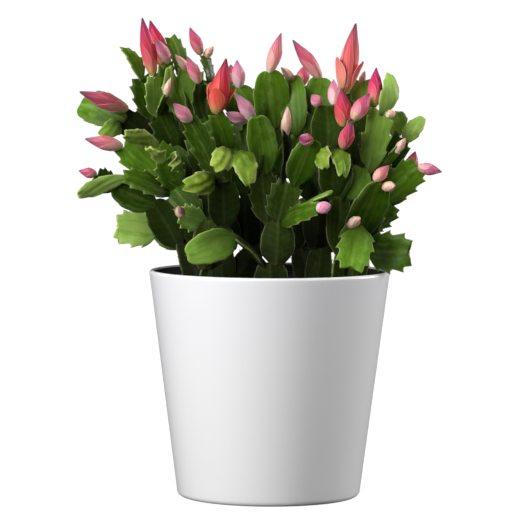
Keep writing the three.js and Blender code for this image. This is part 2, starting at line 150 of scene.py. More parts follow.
# %% Add a node, start a finish
def add_node(tree, kind, inputs=(), **settings):
    """Adds a node. A value for an input is a number or colour, or the output that is linked to it."""
    node = tree.nodes.new("ShaderNode" + kind)
    for setting, value in settings.items():
        setattr(node, setting, value)
    for socket, value in dict(inputs).items():
        if isinstance(value, bpy.types.NodeSocket):
            tree.links.new(value, node.inputs[socket])
        else:
            node.inputs[socket].default_value = value
    return node


def calculate(tree, operation, *values):
    """The result of a Math node, whose values are numbers or the outputs of other nodes."""
    return add_node(tree, "Math", dict(enumerate(values)), operation=operation).outputs[0]


def start_finish(name, roughness, **settings):
    finish = bpy.data.materials.new(name)
    finish.use_nodes = True
    shader = finish.node_tree.nodes["Principled BSDF"]
    shader.inputs["Roughness"].default_value = roughness
    for socket, value in settings.items():
        shader.inputs[socket.replace("_", " ")].default_value = value
    return finish, finish.node_tree, shader


print("tools for nodes")

# %% Surround everything with white
WHITE = (1, 1, 1, 1)
WORLD_AS_LIGHT = 0.05
WORLD_AS_SEEN = 1.05

world = bpy.data.worlds.new("white studio")
bpy.context.scene.world = world
world.use_nodes = True
sky = world.node_tree
sky.nodes.clear()
dim = add_node(sky, "Background", {"Color": WHITE, "Strength": WORLD_AS_LIGHT})
bright = add_node(sky, "Background", {"Color": WHITE, "Strength": WORLD_AS_SEEN})
seen_directly = add_node(sky, "LightPath").outputs["Is Camera Ray"]
choose = add_node(sky, "MixShader", {"Fac": seen_directly, 1: dim.outputs[0], 2: bright.outputs[0]})
add_node(sky, "OutputWorld", {"Surface": choose.outputs[0]})
bpy.context.scene.view_settings.view_transform = "Standard"
print("a white world, dimmer as a light than it looks")

# %% Lay the floor
FLOOR_SIZE = 12  # metres
FLOOR_DROP = 0.2 * MM  # so that the floor and the pot's foot don't share a plane
FLOOR_GREY = (0.08, 0.08, 0.08, 1)
FLOOR_GLOW = 0.95  # as the camera sees it, so that no shadow shows

bpy.ops.object.select_all(action="DESELECT")
bpy.ops.mesh.primitive_plane_add(size=FLOOR_SIZE, location=(0, 0, -FLOOR_DROP))
floor = bpy.context.active_object
floor.name = "floor"
pale, tree, shader = start_finish("pale floor", 0.9, Base_Color=FLOOR_GREY, Emission_Color=WHITE)
seen_directly = add_node(tree, "LightPath").outputs["Is Camera Ray"]
tree.links.new(calculate(tree, "MULTIPLY", seen_directly, FLOOR_GLOW), shader.inputs["Emission Strength"])
floor.data.materials.append(pale)
floor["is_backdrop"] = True
print("a plain white floor under the pot")

# %% [markdown]
# ## A few tools
# Every piece below starts as a primitive and is shaped in edit mode: corners are picked in code by where they
# lie, and then an operator moves, scales, extrudes or bevels what is picked. Picking by place keeps working
# when a count or a size changes, which picking by number doesn't.

# %% Start a piece, pick its corners, finish it
def start_piece(name, add_primitive, **size_and_place):
    bpy.ops.object.select_all(action="DESELECT")
    add_primitive(**size_and_place)
    piece = bpy.context.active_object
    piece.name = name
    bpy.ops.object.mode_set(mode="EDIT")
    return piece


def pick(piece, test):
    """In edit mode, selects the corners for which the test of their place holds."""
    bpy.ops.mesh.select_mode(type="VERT")
    bpy.ops.mesh.select_all(action="DESELECT")
    shape = bmesh.from_edit_mesh(piece.data)
    for corner in shape.verts:
        corner.select_set(test(corner.co))
    shape.select_flush(True)
    bmesh.update_edit_mesh(piece.data)


def near(value, wanted, within):
    """Whether two lengths in metres differ by less than so many millimetres."""
    return abs(value - wanted) < within * MM


def turn_faces_out():
    bpy.ops.mesh.select_all(action="SELECT")
    bpy.ops.mesh.normals_make_consistent(inside=False)


def end_editing(piece):
    """Leaves edit mode with the place of the piece in its mesh and its object at the origin."""
    bpy.ops.object.mode_set(mode="OBJECT")
    bpy.ops.object.transform_apply(location=True, rotation=True, scale=True)
    return piece


def count_faces(piece):
    return sum(len(face.vertices) - 2 for face in piece.data.polygons)


print("tools for modelling with operators")

# %% Apply a modifier, copy a piece, join several
def apply_modifier(piece, kind, **settings):
    modifier = piece.modifiers.new(kind.lower(), kind)
    for setting, value in settings.items():
        setattr(modifier, setting, value)
    bpy.ops.object.modifier_apply(modifier=modifier.name)


def copy_piece(master):
    """A copy with a mesh of its own."""
    copy = master.copy()
    copy.data = master.data.copy()
    bpy.context.scene.collection.objects.link(copy)
    return copy


def join(name, parts):
    bpy.ops.object.select_all(action="DESELECT")
    for part in parts:
        part.select_set(True)
    bpy.context.view_layer.objects.active = parts[0]
    bpy.ops.object.join()
    parts[0].name = name
    return parts[0]


print("tools for finished pieces")

# %% [markdown]
# ## Shared effects
# Several finishes need the same few effects: slow patches of lighter and darker colour, a fine grain, and
# dust on what faces up. Each is a small node group with named inputs, built once and used with other
# values in each finish. The groups read Object coordinates, which are metres here because every piece has
# its place in its mesh, so a size given in millimetres stays true on every piece.

# %% Stretch a value's range, make a noise of a given size
def spread(tree, value, low, high, new_low=0.0, new_high=1.0):
    """Stretches a value's range from low to high over a new range, and stops at its ends."""
    inputs = {"Value": value, "From Min": low, "From Max": high, "To Min": new_low, "To Max": new_high}
    return add_node(tree, "MapRange", inputs).outputs["Result"]


def noise_of_size(tree, size, detail):
    """A cloudy noise whose clouds are as large as the size in millimetres."""
    place = add_node(tree, "TexCoord").outputs["Object"]
    per_metre = calculate(tree, "DIVIDE", 1 / MM, size)
    return add_node(tree, "TexNoise", {"Vector": place, "Scale": per_metre, "Detail": detail}).outputs["Fac"]


print("tools for groups")

# %% Build the shared node groups
def start_group(name, inputs, output):
    tree = bpy.data.node_groups.new(name, "ShaderNodeTree")
    for socket, value in inputs.items():
        tree.interface.new_socket(socket, in_out="INPUT", socket_type="NodeSocketFloat").default_value = value
    tree.interface.new_socket(output, in_out="OUTPUT", socket_type="NodeSocketFloat")
    return tree, tree.nodes.new("NodeGroupInput"), tree.nodes.new("NodeGroupOutput")


patches, given, result = start_group("patches", {"Size": 10.0, "Spread": 0.15}, "Mask")
cloud = noise_of_size(patches, given.outputs["Size"], 3.0)
low = calculate(patches, "SUBTRACT", 0.5, given.outputs["Spread"])
high = calculate(patches, "ADD", 0.5, given.outputs["Spread"])
patches.links.new(spread(patches, cloud, low, high), result.inputs["Mask"])

grain, given, result = start_group("grain", {"Size": 1.0}, "Height")
grain.links.new(noise_of_size(grain, given.outputs["Size"], 5.0), result.inputs["Height"])

dust, given, result = start_group("dust", {"Size": 4.0, "Amount": 0.5}, "Mask")
normal = add_node(dust, "NewGeometry").outputs["Normal"]
upwards = add_node(dust, "SeparateXYZ", {"Vector": normal}).outputs["Z"]
broken = spread(dust, noise_of_size(dust, given.outputs["Size"], 6.0), 0.42, 0.62)
both = calculate(dust, "MULTIPLY", spread(dust, upwards, 0.2, 0.9), broken)
dust.links.new(calculate(dust, "MULTIPLY", both, given.outputs["Amount"]), result.inputs["Mask"])
print("groups:", ", ".join(group.name for group in bpy.data.node_groups))

# %% Use a group, blend colours, run along a ramp of colours
def colour(text):
    """A colour as a picture shows it, #rrggbb, as the linear values that a shader takes."""
    shares = [int(text[i : i + 2], 16) / 255 for i in (1, 3, 5)]
    return (*[s / 12.92 if s <= 0.04045 else ((s + 0.055) / 1.055) ** 2.4 for s in shares], 1)


def use_group(tree, group, **inputs):
    node = tree.nodes.new("ShaderNodeGroup")
    node.node_tree = group
    for socket, value in inputs.items():
        node.inputs[socket].default_value = value
    return node.outputs[0]


def blend(tree, share, first, second, kind="MIX"):
    """Mixes two colours, each a colour text, a value for all of it, or another node's output."""
    mix = tree.nodes.new("ShaderNodeMix")
    mix.data_type = "RGBA"
    mix.blend_type = kind
    for socket, value in ((0, share), (6, first), (7, second)):
        if isinstance(value, bpy.types.NodeSocket):
            tree.links.new(value, mix.inputs[socket])
        else:
            mix.inputs[socket].default_value = colour(value) if isinstance(value, str) else value
    return mix.outputs[2]


def ramp(tree, share, stops):
    node = add_node(tree, "ValToRGB", {"Fac": share})
    while len(node.color_ramp.elements) < len(stops):
        node.color_ramp.elements.new(0.5)
    for element, (place, text) in zip(node.color_ramp.elements, stops):
        element.position = place
        element.color = colour(text)
    return node.outputs["Color"]


print("tools for colours")

# %% Read an attribute, raise bumps
def read(tree, attribute):
    return add_node(tree, "Attribute", attribute_name=attribute).outputs["Fac"]


def bumps(tree, shader, height, strength, distance):
    bump = add_node(tree, "Bump", {"Height": height, "Strength": strength, "Distance": distance * MM})
    tree.links.new(bump.outputs["Normal"], shader.inputs["Normal"])


print("tools for finishes")

# %% [markdown]
# ## The cover pot
# A cover pot like this is slip-cast: one wall of even thickness, a straight taper, a small round corner at
# the bottom and a rim that hardly stands out of the side. It could be spun from a drawn outline. Here it
# grows by hand instead, ring by ring: a circle is extruded up the outside, over the rim and down the inside,
# and each new ring is scaled to its radius. The sharp corners are bevelled last, so that one number sets
# their roundness.

# %% Sizes of the cover pot
POT_HEIGHT = 134
RIM_RADIUS = 71.5
BASE_RADIUS = 53.9
POT_WALL = 3.4
POT_FLOOR = 7
LIP_PROUD = 0.2
LIP_START = POT_HEIGHT - 4
INNER_RIM = RIM_RADIUS - POT_WALL - LIP_PROUD
BASE_ROUNDING = 3.08
RIM_ROUNDING = 1.9
POT_TAPER = (RIM_RADIUS - LIP_PROUD - BASE_RADIUS) / POT_HEIGHT


def pot_side(height):
    return BASE_RADIUS + POT_TAPER * height


print(f"the pot's side leans out {math.degrees(math.atan(POT_TAPER)):.1f} degrees")

# %% Grow a round wall ring by ring
def grow_rings(name, rings, sides):
    """Rings of (radius, height) in millimetres. The first and the last are closed with a face."""
    radius, height = rings[0]
    piece = start_piece(
        name,
        bpy.ops.mesh.primitive_circle_add,
        vertices=sides,
        radius=radius * MM,
        location=(0, 0, height * MM),
    )
    bpy.ops.mesh.edge_face_add()
    pick(piece, lambda place: True)
    for (radius, height), (next_radius, next_height) in zip(rings, rings[1:]):
        rise = (0, 0, (next_height - height) * MM)
        bpy.ops.mesh.extrude_region_move(TRANSFORM_OT_translate={"value": rise})
        bpy.ops.transform.resize(value=(next_radius / radius, next_radius / radius, 1))
    turn_faces_out()
    return piece


def round_corner(piece, radius, height, width, segments):
    """Bevels the ring of edges at a radius and a height, both measured as the ring was given."""
    level = height * MM - piece.location.z

    def on_ring(place):
        return near(place.z, level, 0.01) and near(math.hypot(place.x, place.y), radius * MM, 0.1)

    pick(piece, on_ring)
    bpy.ops.mesh.bevel(offset=width * MM, segments=segments, profile=0.5)


print("rings and round corners")

# %% Model the cover pot
FOOT_RING = 6  # a ring just above the round corner

outside = [(20, 0), (BASE_RADIUS, 0), (pot_side(FOOT_RING), FOOT_RING), (pot_side(LIP_START), LIP_START)]
inside = [
    (RIM_RADIUS, POT_HEIGHT),
    (INNER_RIM, POT_HEIGHT),
    (pot_side(LIP_START) - POT_WALL, LIP_START),
    (pot_side(POT_FLOOR) - POT_WALL, POT_FLOOR),
    (15, POT_FLOOR),
]
cover_pot = grow_rings("cover_pot_fine", outside + inside, sides=96)
round_corner(cover_pot, BASE_RADIUS, 0, BASE_ROUNDING, 8)
round_corner(cover_pot, RIM_RADIUS, POT_HEIGHT, RIM_ROUNDING, 5)
round_corner(cover_pot, INNER_RIM, POT_HEIGHT, RIM_ROUNDING, 5)
round_corner(cover_pot, pot_side(POT_FLOOR) - POT_WALL, POT_FLOOR, POT_WALL, 4)
end_editing(cover_pot)
bpy.ops.object.shade_smooth_by_angle(angle=math.radians(35))
print("cover pot:", count_faces(cover_pot), "triangles")

# %% [markdown]
# The glaze is a cool white with a soft gloss, and on a pot like this it is clean and almost even. It pools by
# a hair's breadth, which shows only where a reflection bends, and it is a little rougher in places. Towards
# the foot the photo's pot turns greyer. A light that fades downwards would do that to the leaves as well, so
# the colour of the glaze does it. The ring that the pot stands on is wiped free of glaze before firing and
# stays matt. The inside below the rim is painted dark and made matt, as painted shade for the shadow that
# the rim and the leaves cast there.

# %% Glaze the cover pot
SHADE_EDGE = POT_HEIGHT - 0.5  # the inside is painted dark, as shade, from here down
WIPED_FOOT = 0.3

glaze, tree, shader = start_finish("white glaze", 0.3, Coat_Weight=0.25, Coat_Roughness=0.12)
clouds = use_group(tree, patches, Size=38.0, Spread=0.2)
place = add_node(tree, "SeparateXYZ", {"Vector": add_node(tree, "TexCoord").outputs["Object"]}).outputs
out = add_node(tree, "CombineXYZ", {"X": place["X"], "Y": place["Y"]}).outputs[0]
reach = add_node(tree, "VectorMath", {0: out}, operation="LENGTH").outputs["Value"]
wall_middle = calculate(tree, "MULTIPLY_ADD", place["Z"], POT_TAPER, (BASE_RADIUS - POT_WALL / 2) * MM)
is_inside = calculate(tree, "LESS_THAN", reach, wall_middle)
below_edge = spread(tree, place["Z"], SHADE_EDGE * MM, (SHADE_EDGE - 0.6) * MM)
painted_shade_inside = calculate(tree, "MULTIPLY", is_inside, below_edge)
foot = spread(tree, place["Z"], WIPED_FOOT * MM, 3 * WIPED_FOOT * MM, 1.0, 0.0)
wiped_foot_or_shaded_inside = calculate(tree, "MAXIMUM", painted_shade_inside, foot)

tint = blend(tree, clouds, "#f4f4f6", "#f2f2f5")
# painted shade: the glaze turns greyer towards the foot, as if less light reached it
tint = blend(tree, spread(tree, place["Z"], POT_HEIGHT * MM, 0.0), tint, "#e4e3e3")
tint = blend(tree, foot, tint, "#cfc9be")
# painted shade: the inside below the rim is dark, where the rim and the leaves shade it
tint = blend(tree, painted_shade_inside, tint, blend(tree, clouds, "#181916", "#23241f"))
tree.links.new(tint, shader.inputs["Base Color"])
matt = calculate(tree, "MAXIMUM", spread(tree, clouds, 0.0, 1.0, 0.3, 0.34), wiped_foot_or_shaded_inside)
tree.links.new(matt, shader.inputs["Roughness"])
tree.links.new(spread(tree, wiped_foot_or_shaded_inside, 0.0, 1.0, 0.25, 0.0), shader.inputs["Coat Weight"])
bumps(tree, shader, use_group(tree, grain, Size=14.0), 0.05, 0.3)
cover_pot.data.materials.append(glaze)
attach(cover_pot, "root")
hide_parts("cover_pot")
print("white glaze")

# %% [markdown]
# ## The nursery pot
# The plant is grown and sold in a thin black pot, which just shows inside the white rim. It is vacuum-formed,
# with a rolled rim and four drain holes. Its wall grows ring by ring as before. The holes are
# cut with a Boolean modifier, because that leaves the rest of the floor alone.

# %% Model the nursery pot
NURSERY_TOP = 129
NURSERY_TOP_RADIUS = 62.6
NURSERY_BASE_RADIUS = 43.5
NURSERY_WALL = 1.3
NURSERY_FLOOR = POT_FLOOR + NURSERY_WALL
NURSERY_RIM = 64.3
RIM_START = NURSERY_TOP - 5

nursery_pot = grow_rings(
    "nursery_pot_fine",
    [
        (12, POT_FLOOR),
        (NURSERY_BASE_RADIUS, POT_FLOOR),
        (NURSERY_TOP_RADIUS, RIM_START),
        (NURSERY_RIM, RIM_START),
        (NURSERY_RIM, NURSERY_TOP),
        (NURSERY_TOP_RADIUS - NURSERY_WALL, NURSERY_TOP),
        (NURSERY_BASE_RADIUS - NURSERY_WALL, NURSERY_FLOOR),
        (12, NURSERY_FLOOR),
    ],
    sides=80,
)
round_corner(nursery_pot, NURSERY_RIM, NURSERY_TOP, 1.2, 4)
round_corner(nursery_pot, NURSERY_TOP_RADIUS - NURSERY_WALL, NURSERY_TOP, 0.8, 3)
round_corner(nursery_pot, NURSERY_RIM, RIM_START, 0.5, 2)
end_editing(nursery_pot)
print("nursery pot:", count_faces(nursery_pot), "triangles before it is drilled")

# %% Drill the drain holes
HOLE_COUNT = 4
HOLE_RADIUS = 4
HOLE_REACH = 28
DRILL_DEPTH = 6

parts = []
for number in range(HOLE_COUNT):
    angle = 2 * math.pi * number / HOLE_COUNT
    part = start_piece(
        "drill",
        bpy.ops.mesh.primitive_cylinder_add,
        vertices=20,
        radius=HOLE_RADIUS * MM,
        depth=DRILL_DEPTH * MM,
        location=(HOLE_REACH * MM * math.cos(angle), HOLE_REACH * MM * math.sin(angle), POT_FLOOR * MM),
    )
    parts.append(end_editing(part))
drill = join("drill", parts)
bpy.ops.object.select_all(action="DESELECT")
bpy.context.view_layer.objects.active = nursery_pot
nursery_pot.select_set(True)
apply_modifier(nursery_pot, "BOOLEAN", object=drill, operation="DIFFERENCE", solver="EXACT")
bpy.data.objects.remove(drill)
bpy.ops.object.shade_smooth_by_angle(angle=math.radians(35))
print("nursery pot:", count_faces(nursery_pot), "triangles")

# %% [markdown]
# Black nursery plastic is dull rather than shiny. Watering leaves chalky grey marks on the rim and a little
# dust wherever it faces up, which is why the rim reads as a grey-green line in the shade of the leaves.

# %% Give it a dull black finish with water marks
plastic, tree, shader = start_finish("dull black plastic", 0.5)
tint = blend(tree, use_group(tree, patches, Size=14.0, Spread=0.2), "#070908", "#0e100e")
tint = blend(tree, use_group(tree, dust, Size=3.0, Amount=0.55), tint, "#4d5347")
marks = spread(tree, use_group(tree, grain, Size=5.0), 0.58, 0.72, 0.0, 0.3)
tint = blend(tree, marks, tint, "#343832")
tree.links.new(tint, shader.inputs["Base Color"])
tree.links.new(spread(tree, marks, 0.0, 0.35, 0.42, 0.7), shader.inputs["Roughness"])
bumps(tree, shader, use_group(tree, grain, Size=0.7), 0.25, 0.15)
nursery_pot.data.materials.append(plastic)
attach(nursery_pot, "root")
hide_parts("nursery_pot")
print("dull black plastic")

# %% [markdown]
# ## The potting mix
# Cactus mix is dark peat with lumps, bark and white grains of perlite. Its surface is uneven by a few
# millimetres. A Displace modifier with a cloud pattern makes the ground uneven, and then some hundreds of
# small lumps lie on it. The lumps are three shapes, each modelled once and copied with its own size and turn.

# %% Raise the surface of the mix
SOIL_TOP = 116
SOIL_EDGE = SOIL_TOP - 1  # the level that the bumps rise and fall from
UNEVEN_BY = 4.5
MIX_GAP = 0.6  # between the mix and the wall round it
MIX_BASE_RADIUS = NURSERY_BASE_RADIUS - NURSERY_WALL - MIX_GAP
MIX_SLOPE = (NURSERY_TOP_RADIUS - NURSERY_BASE_RADIUS) / (NURSERY_TOP - NURSERY_FLOOR)
MIX_RADIUS = MIX_BASE_RADIUS + MIX_SLOPE * (SOIL_TOP - NURSERY_FLOOR)
TOP_RINGS = (1, 0.96, 0.9, 0.82, 0.73, 0.64, 0.54, 0.44, 0.33, 0.22, 0.1)  # shares of the mix's radius

rings = [(10, NURSERY_FLOOR), (MIX_BASE_RADIUS, NURSERY_FLOOR)]
rings += [(MIX_RADIUS * share, SOIL_EDGE) for share in TOP_RINGS]
potting_mix = grow_rings("potting_mix_fine", rings, sides=56)
pick(potting_mix, lambda place: place.z > (SOIL_EDGE - NURSERY_FLOOR - 1) * MM)
bpy.ops.mesh.subdivide(number_cuts=1, smoothness=0)
end_editing(potting_mix)
inner = [
    corner.index
    for corner in potting_mix.data.vertices
    if corner.co.z > (SOIL_EDGE - 1) * MM and math.hypot(corner.co.x, corner.co.y) < (MIX_RADIUS - 1) * MM
]
potting_mix.vertex_groups.new(name="top").add(inner, 1.0, "REPLACE")
lumps = bpy.data.textures.new("lumps", "CLOUDS")
lumps.noise_scale = 7 * MM
lumps.noise_depth = 3
apply_modifier(
    potting_mix,
    "DISPLACE",
    texture=lumps,
    strength=UNEVEN_BY * MM,
    mid_level=0.5,
    vertex_group="top",
    texture_coords="LOCAL",
)
bpy.ops.object.shade_smooth_by_angle(angle=math.radians(60))
print("potting mix:", count_faces(potting_mix), "triangles,", len(inner), "corners raised or lowered")

# %% Model the three kinds of crumb
def crumb(name, size, squash, wobble, seed):
    """A rough lump from an icosphere, its corners pushed about by an amount that the seed fixes."""
    piece = start_piece(name, bpy.ops.mesh.primitive_ico_sphere_add, subdivisions=1, radius=size * MM)
    bpy.ops.transform.resize(value=squash)
    bpy.ops.transform.vertex_random(offset=wobble * MM, seed=seed)
    return end_editing(piece)


crumbs = [
    crumb("peat", 1.5, (1.2, 1.0, 0.75), 0.6, 3),
    crumb("bark", 2.2, (1.7, 0.8, 0.35), 0.5, 8),
    crumb("perlite", 1.3, (1.0, 0.9, 0.85), 0.35, 5),
]
print([count_faces(piece) for piece in crumbs], "triangles a crumb")

# %% Scatter the crumbs over the mix
CRUMB_COUNT = 420
CRUMB_SHARES = (7, 2, 1.4)  # of peat, bark and perlite
EDGE_GAP = 2.5

rng = random.Random(41)
ground = BVHTree.FromObject(potting_mix, bpy.context.evaluated_depsgraph_get())
scattered = []
for number in range(CRUMB_COUNT):
    reach = (MIX_RADIUS - EDGE_GAP) * math.sqrt(rng.random())
    angle = rng.uniform(0, 2 * math.pi)
    above = Vector((reach * math.cos(angle), reach * math.sin(angle), POT_HEIGHT)) * MM
    landing = ground.ray_cast(above, Vector((0, 0, -1)))[0]
    kind = rng.choices(range(len(crumbs)), CRUMB_SHARES)[0]
    turn = Matrix.Rotation(rng.uniform(0, 6.3), 4, "Z") @ Matrix.Rotation(rng.uniform(-0.5, 0.5), 4, "X")
    lump = copy_piece(crumbs[kind])
    lump.data.transform(Matrix.Translation(landing) @ turn @ Matrix.Scale(rng.uniform(0.5, 1.25), 4))
    scattered.append((lump, kind))
print(len(scattered), "crumbs on the mix")

# %% [markdown]
# Peat is nearly black when it is moist and brown when it is dry. Bark chips are redder, and perlite is white.
# Three small finishes that share the grain and the patches say more than one mixed colour would.

# %% Colour the mix and its crumbs
def crumbly(name, dark, light, size, roughness=0.95):
    finish, tree, shader = start_finish(name, roughness)
    tint = blend(tree, use_group(tree, patches, Size=size, Spread=0.14), dark, light)
    tree.links.new(tint, shader.inputs["Base Color"])
    bumps(tree, shader, use_group(tree, grain, Size=0.9), 0.7, 0.5)
    return finish


soil_finishes = [
    crumbly("moist peat", "#17100b", "#3a2b20", 2.5),
    crumbly("bark chip", "#3b2417", "#6a452c", 1.5),
    crumbly("perlite", "#cfccc4", "#efeee9", 1.2, 0.85),
]
potting_mix.data.materials.append(soil_finishes[0])
for lump, kind in scattered:
    lump.data.materials.append(soil_finishes[kind])
for original in crumbs:
    bpy.data.objects.remove(original)
join("potting_mix_fine", [potting_mix] + [lump for lump, kind in scattered])
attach(potting_mix, "root")
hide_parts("potting_mix")
print("potting mix with its crumbs:", count_faces(potting_mix), "triangles")

# %% [markdown]
# ## The segments
# What look like leaves are flat pieces of stem. Each is narrow where it joins the one before, widens to
# toothed shoulders and ends in a shallow notch that the next one grows from. A round rib runs up its middle
# and the blade thins out to its margin. It could be cut from a flat outline, but then the corners would
# not follow the form. Here a row of faces is extruded from base to tip, and each new row is scaled to the
# blade's width there, so a tooth is just a row that comes in sharply after a wide one.

# %% Set the sizes that a segment is modelled at
SEGMENT_LENGTH = 30
HALF_WIDTH = 9
COLUMNS = (0.0, 0.12, 0.45, 0.85, 1.0)  # where lines of corners run, as shares of the half width
print(f"segments are modelled {SEGMENT_LENGTH} mm long and {2 * HALF_WIDTH} mm wide")

# %% Extrude a flat piece row by row
def at_column(place, share, half):
    return near(abs(place.x), share * half, 0.02)


def set_row(width, rise):
    """Scales the picked row to its width, and moves it to its place along the piece."""
    bpy.ops.transform.resize(value=(width, 1, 1), center_override=(0, 0, 0))
    bpy.ops.transform.translate(value=(0, rise, 0))


def extrude_rows(name, rows, half, long, columns):
    """Each row is a share of the length and of the half width. Returns the piece, still in edit mode."""
    gaps = len(columns) - 1
    grid = {"x_subdivisions": 2 * gaps, "y_subdivisions": 1, "size": 2 * half}
    piece = start_piece(name, bpy.ops.mesh.primitive_grid_add, **grid)
    for number in range(1, gaps):
        evenly = number / gaps
        pick(piece, lambda place: at_column(place, evenly, half))
        bpy.ops.transform.resize(value=(columns[number] / evenly, 1, 1), center_override=(0, 0, 0))
    (first, width), (second, next_width) = rows[:2]
    pick(piece, lambda place: place.y < 0)
    set_row(width, first * long + half)
    pick(piece, lambda place: place.y > 0.5 * half)
    set_row(next_width, second * long - half)
    for (along, width), (next_along, next_width) in zip(rows[1:], rows[2:]):
        step = (0, (next_along - along) * long, 0)
        bpy.ops.mesh.extrude_region_move(TRANSFORM_OT_translate={"value": step})
        bpy.ops.transform.resize(value=(next_width / width, 1, 1), center_override=(0, 0, 0))
    return piece


print("a flat piece can be extruded")

# %% Note where on the piece each corner is
def note(piece, name, values):
    """Keeps a value for each corner, or one value for them all, where a finish can read it."""
    if not isinstance(values, list):
        values = [values] * len(piece.data.vertices)
    attribute = piece.data.attributes.get(name) or piece.data.attributes.new(name, "FLOAT", "POINT")
    attribute.data.foreach_set("value", values)


def note_place(piece, rows, half, long):
    """Keeps each corner's share of the length, and of the width there. Starts and ends in edit mode."""
    bpy.ops.object.mode_set(mode="OBJECT")
    corners = piece.data.vertices
    along = [corner.co.y / long for corner in corners]
    widths = [min(rows, key=lambda row: abs(row[0] - share))[1] for share in along]
    note(piece, "along", along)
    note(piece, "across", [corner.co.x / (width * half) for corner, width in zip(corners, widths)])
    bpy.ops.object.mode_set(mode="EDIT")


print("corners can be noted")

# %% Shape the teeth and the tip
LEFT_STEPS = ((0.225, 0.01), (0.45, 0.015), (0.6, 0.015))  # from how far out, and how far back
NOTCH_DEPTHS = (1.0, 0.93, 0.12, 0.05)  # at each column but the last, as shares of the notch


def push_teeth(piece, teeth, reach):
    """Moves the margin's corner at each tooth towards the tip, and the whole left side a little back."""
    half, long = HALF_WIDTH * MM, SEGMENT_LENGTH * MM
    for along, width in teeth:
        for side in (-1, 1):
            x, y = side * width * half, along * long
            pick(piece, lambda place: near(place.x, x, 0.1) and near(place.y, y, 0.1))
            bpy.ops.transform.translate(value=(side * 0.1 * MM, reach * long, 0))
    for out, back in LEFT_STEPS:
        pick(piece, lambda place: place.x < -out * half and 0.15 * long < place.y < 0.85 * long)
        bpy.ops.transform.translate(value=(0, -back * long, 0))


def notch_tip(piece, rows, depth, horn):
    """Pulls the middle of the last row back. A horn pushes its ends on, or pulls them back if below 0."""
    half, long = rows[-1][1] * HALF_WIDTH * MM, SEGMENT_LENGTH * MM
    for share, back in zip(COLUMNS, (*NOTCH_DEPTHS, -horn)):
        pick(piece, lambda place: place.y > 0.995 * long and at_column(place, share, half))
        bpy.ops.transform.translate(value=(0, -back * depth * long, 0))


print("tools for teeth and tips")

# %% Give a blade its thickness
def thicken(piece, half_thickness, sharp):
    """Half thicknesses in millimetres from the rib out to the margin. Sharp corners keep their point."""
    bpy.ops.object.mode_set(mode="OBJECT")
    thick = piece.vertex_groups.new(name="thickness")
    for number, spot in enumerate(piece.data.attributes["across"].data):
        column = min(range(len(COLUMNS)), key=lambda i: abs(COLUMNS[i] - abs(spot.value)))
        thick.add([number], half_thickness[column] / half_thickness[0], "REPLACE")
    rib = 2 * half_thickness[0] * MM
    apply_modifier(piece, "SOLIDIFY", thickness=rib, offset=0, vertex_group="thickness")
    bpy.ops.object.mode_set(mode="EDIT")
    turn_faces_out()
    for along, width in sharp:
        x, y = width * HALF_WIDTH * MM, along * SEGMENT_LENGTH * MM
        pick(piece, lambda place: near(abs(place.x), x, 0.5) and near(place.y, y, 1.6))
        bpy.ops.transform.vert_crease(value=0.75)
    end_editing(piece)
    apply_modifier(piece, "SUBSURF", levels=1, render_levels=1)
    bpy.ops.object.shade_smooth()
    return piece


print("a blade can be thickened")

# %% Model the mature segments: one with claws, one round
def model_segment(name, rows, teeth, reach, notch, half_thickness, horn=-0.4):
    """Teeth are the rows that get a point. It reaches on, and the notch goes in, by shares of the length."""
    piece = extrude_rows(name, rows, HALF_WIDTH * MM, SEGMENT_LENGTH * MM, COLUMNS)
    note_place(piece, rows, HALF_WIDTH * MM, SEGMENT_LENGTH * MM)
    push_teeth(piece, teeth, reach)
    notch_tip(piece, rows, notch, horn)
    return thicken(piece, half_thickness, [(along + reach, width) for along, width in teeth])


clawed = model_segment(
    "clawed segment",
    [(0, 0.17), (0.06, 0.3), (0.13, 0.47), (0.21, 0.66), (0.29, 0.82), (0.36, 1.0), (0.38, 0.81)]
    + [(0.48, 0.88), (0.6, 1.09), (0.62, 0.82), (0.72, 0.84), (0.83, 0.97), (0.85, 0.68)]
    + [(0.93, 0.67), (1.0, 0.62)],
    teeth=[(0.36, 1.0), (0.6, 1.09), (0.83, 0.97)],
    reach=0.055,
    notch=0.06,
    half_thickness=(1.5, 1.2, 0.95, 0.7, 0.35),
    horn=0.6,
)
rounded = model_segment(
    "round segment",
    [(0, 0.17), (0.06, 0.32), (0.13, 0.52), (0.22, 0.74), (0.34, 0.92), (0.46, 1.0), (0.48, 0.95)]
    + [(0.6, 0.99), (0.72, 0.95), (0.74, 0.88), (0.84, 0.82), (0.92, 0.68), (0.97, 0.52), (1.0, 0.36)],
    teeth=[(0.46, 1.0), (0.72, 0.95)],
    reach=0.012,
    notch=0.02,
    half_thickness=(1.5, 1.2, 1.0, 0.8, 0.5),
)
print([count_faces(piece) for piece in (clawed, rounded)], "triangles a mature segment")

# %% Model the old and the young segment
old = model_segment(
    "old segment",
    [(0, 0.32), (0.07, 0.46), (0.15, 0.64), (0.25, 0.83), (0.38, 0.96), (0.5, 1.0), (0.53, 0.93)]
    + [(0.64, 0.96), (0.75, 0.92), (0.785, 0.84), (0.87, 0.78), (0.94, 0.68), (1.0, 0.52)],
    teeth=[],
    reach=0,
    notch=0.04,
    half_thickness=(2.3, 2.0, 1.5, 1.0, 0.6),
)
young = model_segment(
    "young segment",
    [(0, 0.2), (0.07, 0.4), (0.15, 0.62), (0.25, 0.8), (0.36, 0.93), (0.47, 1.02), (0.49, 0.92)]
    + [(0.6, 0.95), (0.73, 0.92), (0.75, 0.8), (0.86, 0.68), (0.94, 0.52), (1.0, 0.34)],
    teeth=[(0.47, 1.02), (0.73, 0.92)],
    reach=0.02,
    notch=0.02,
    half_thickness=(1.0, 0.9, 0.75, 0.6, 0.3),
)
print([count_faces(piece) for piece in (old, young)], "triangles an old and a young segment")

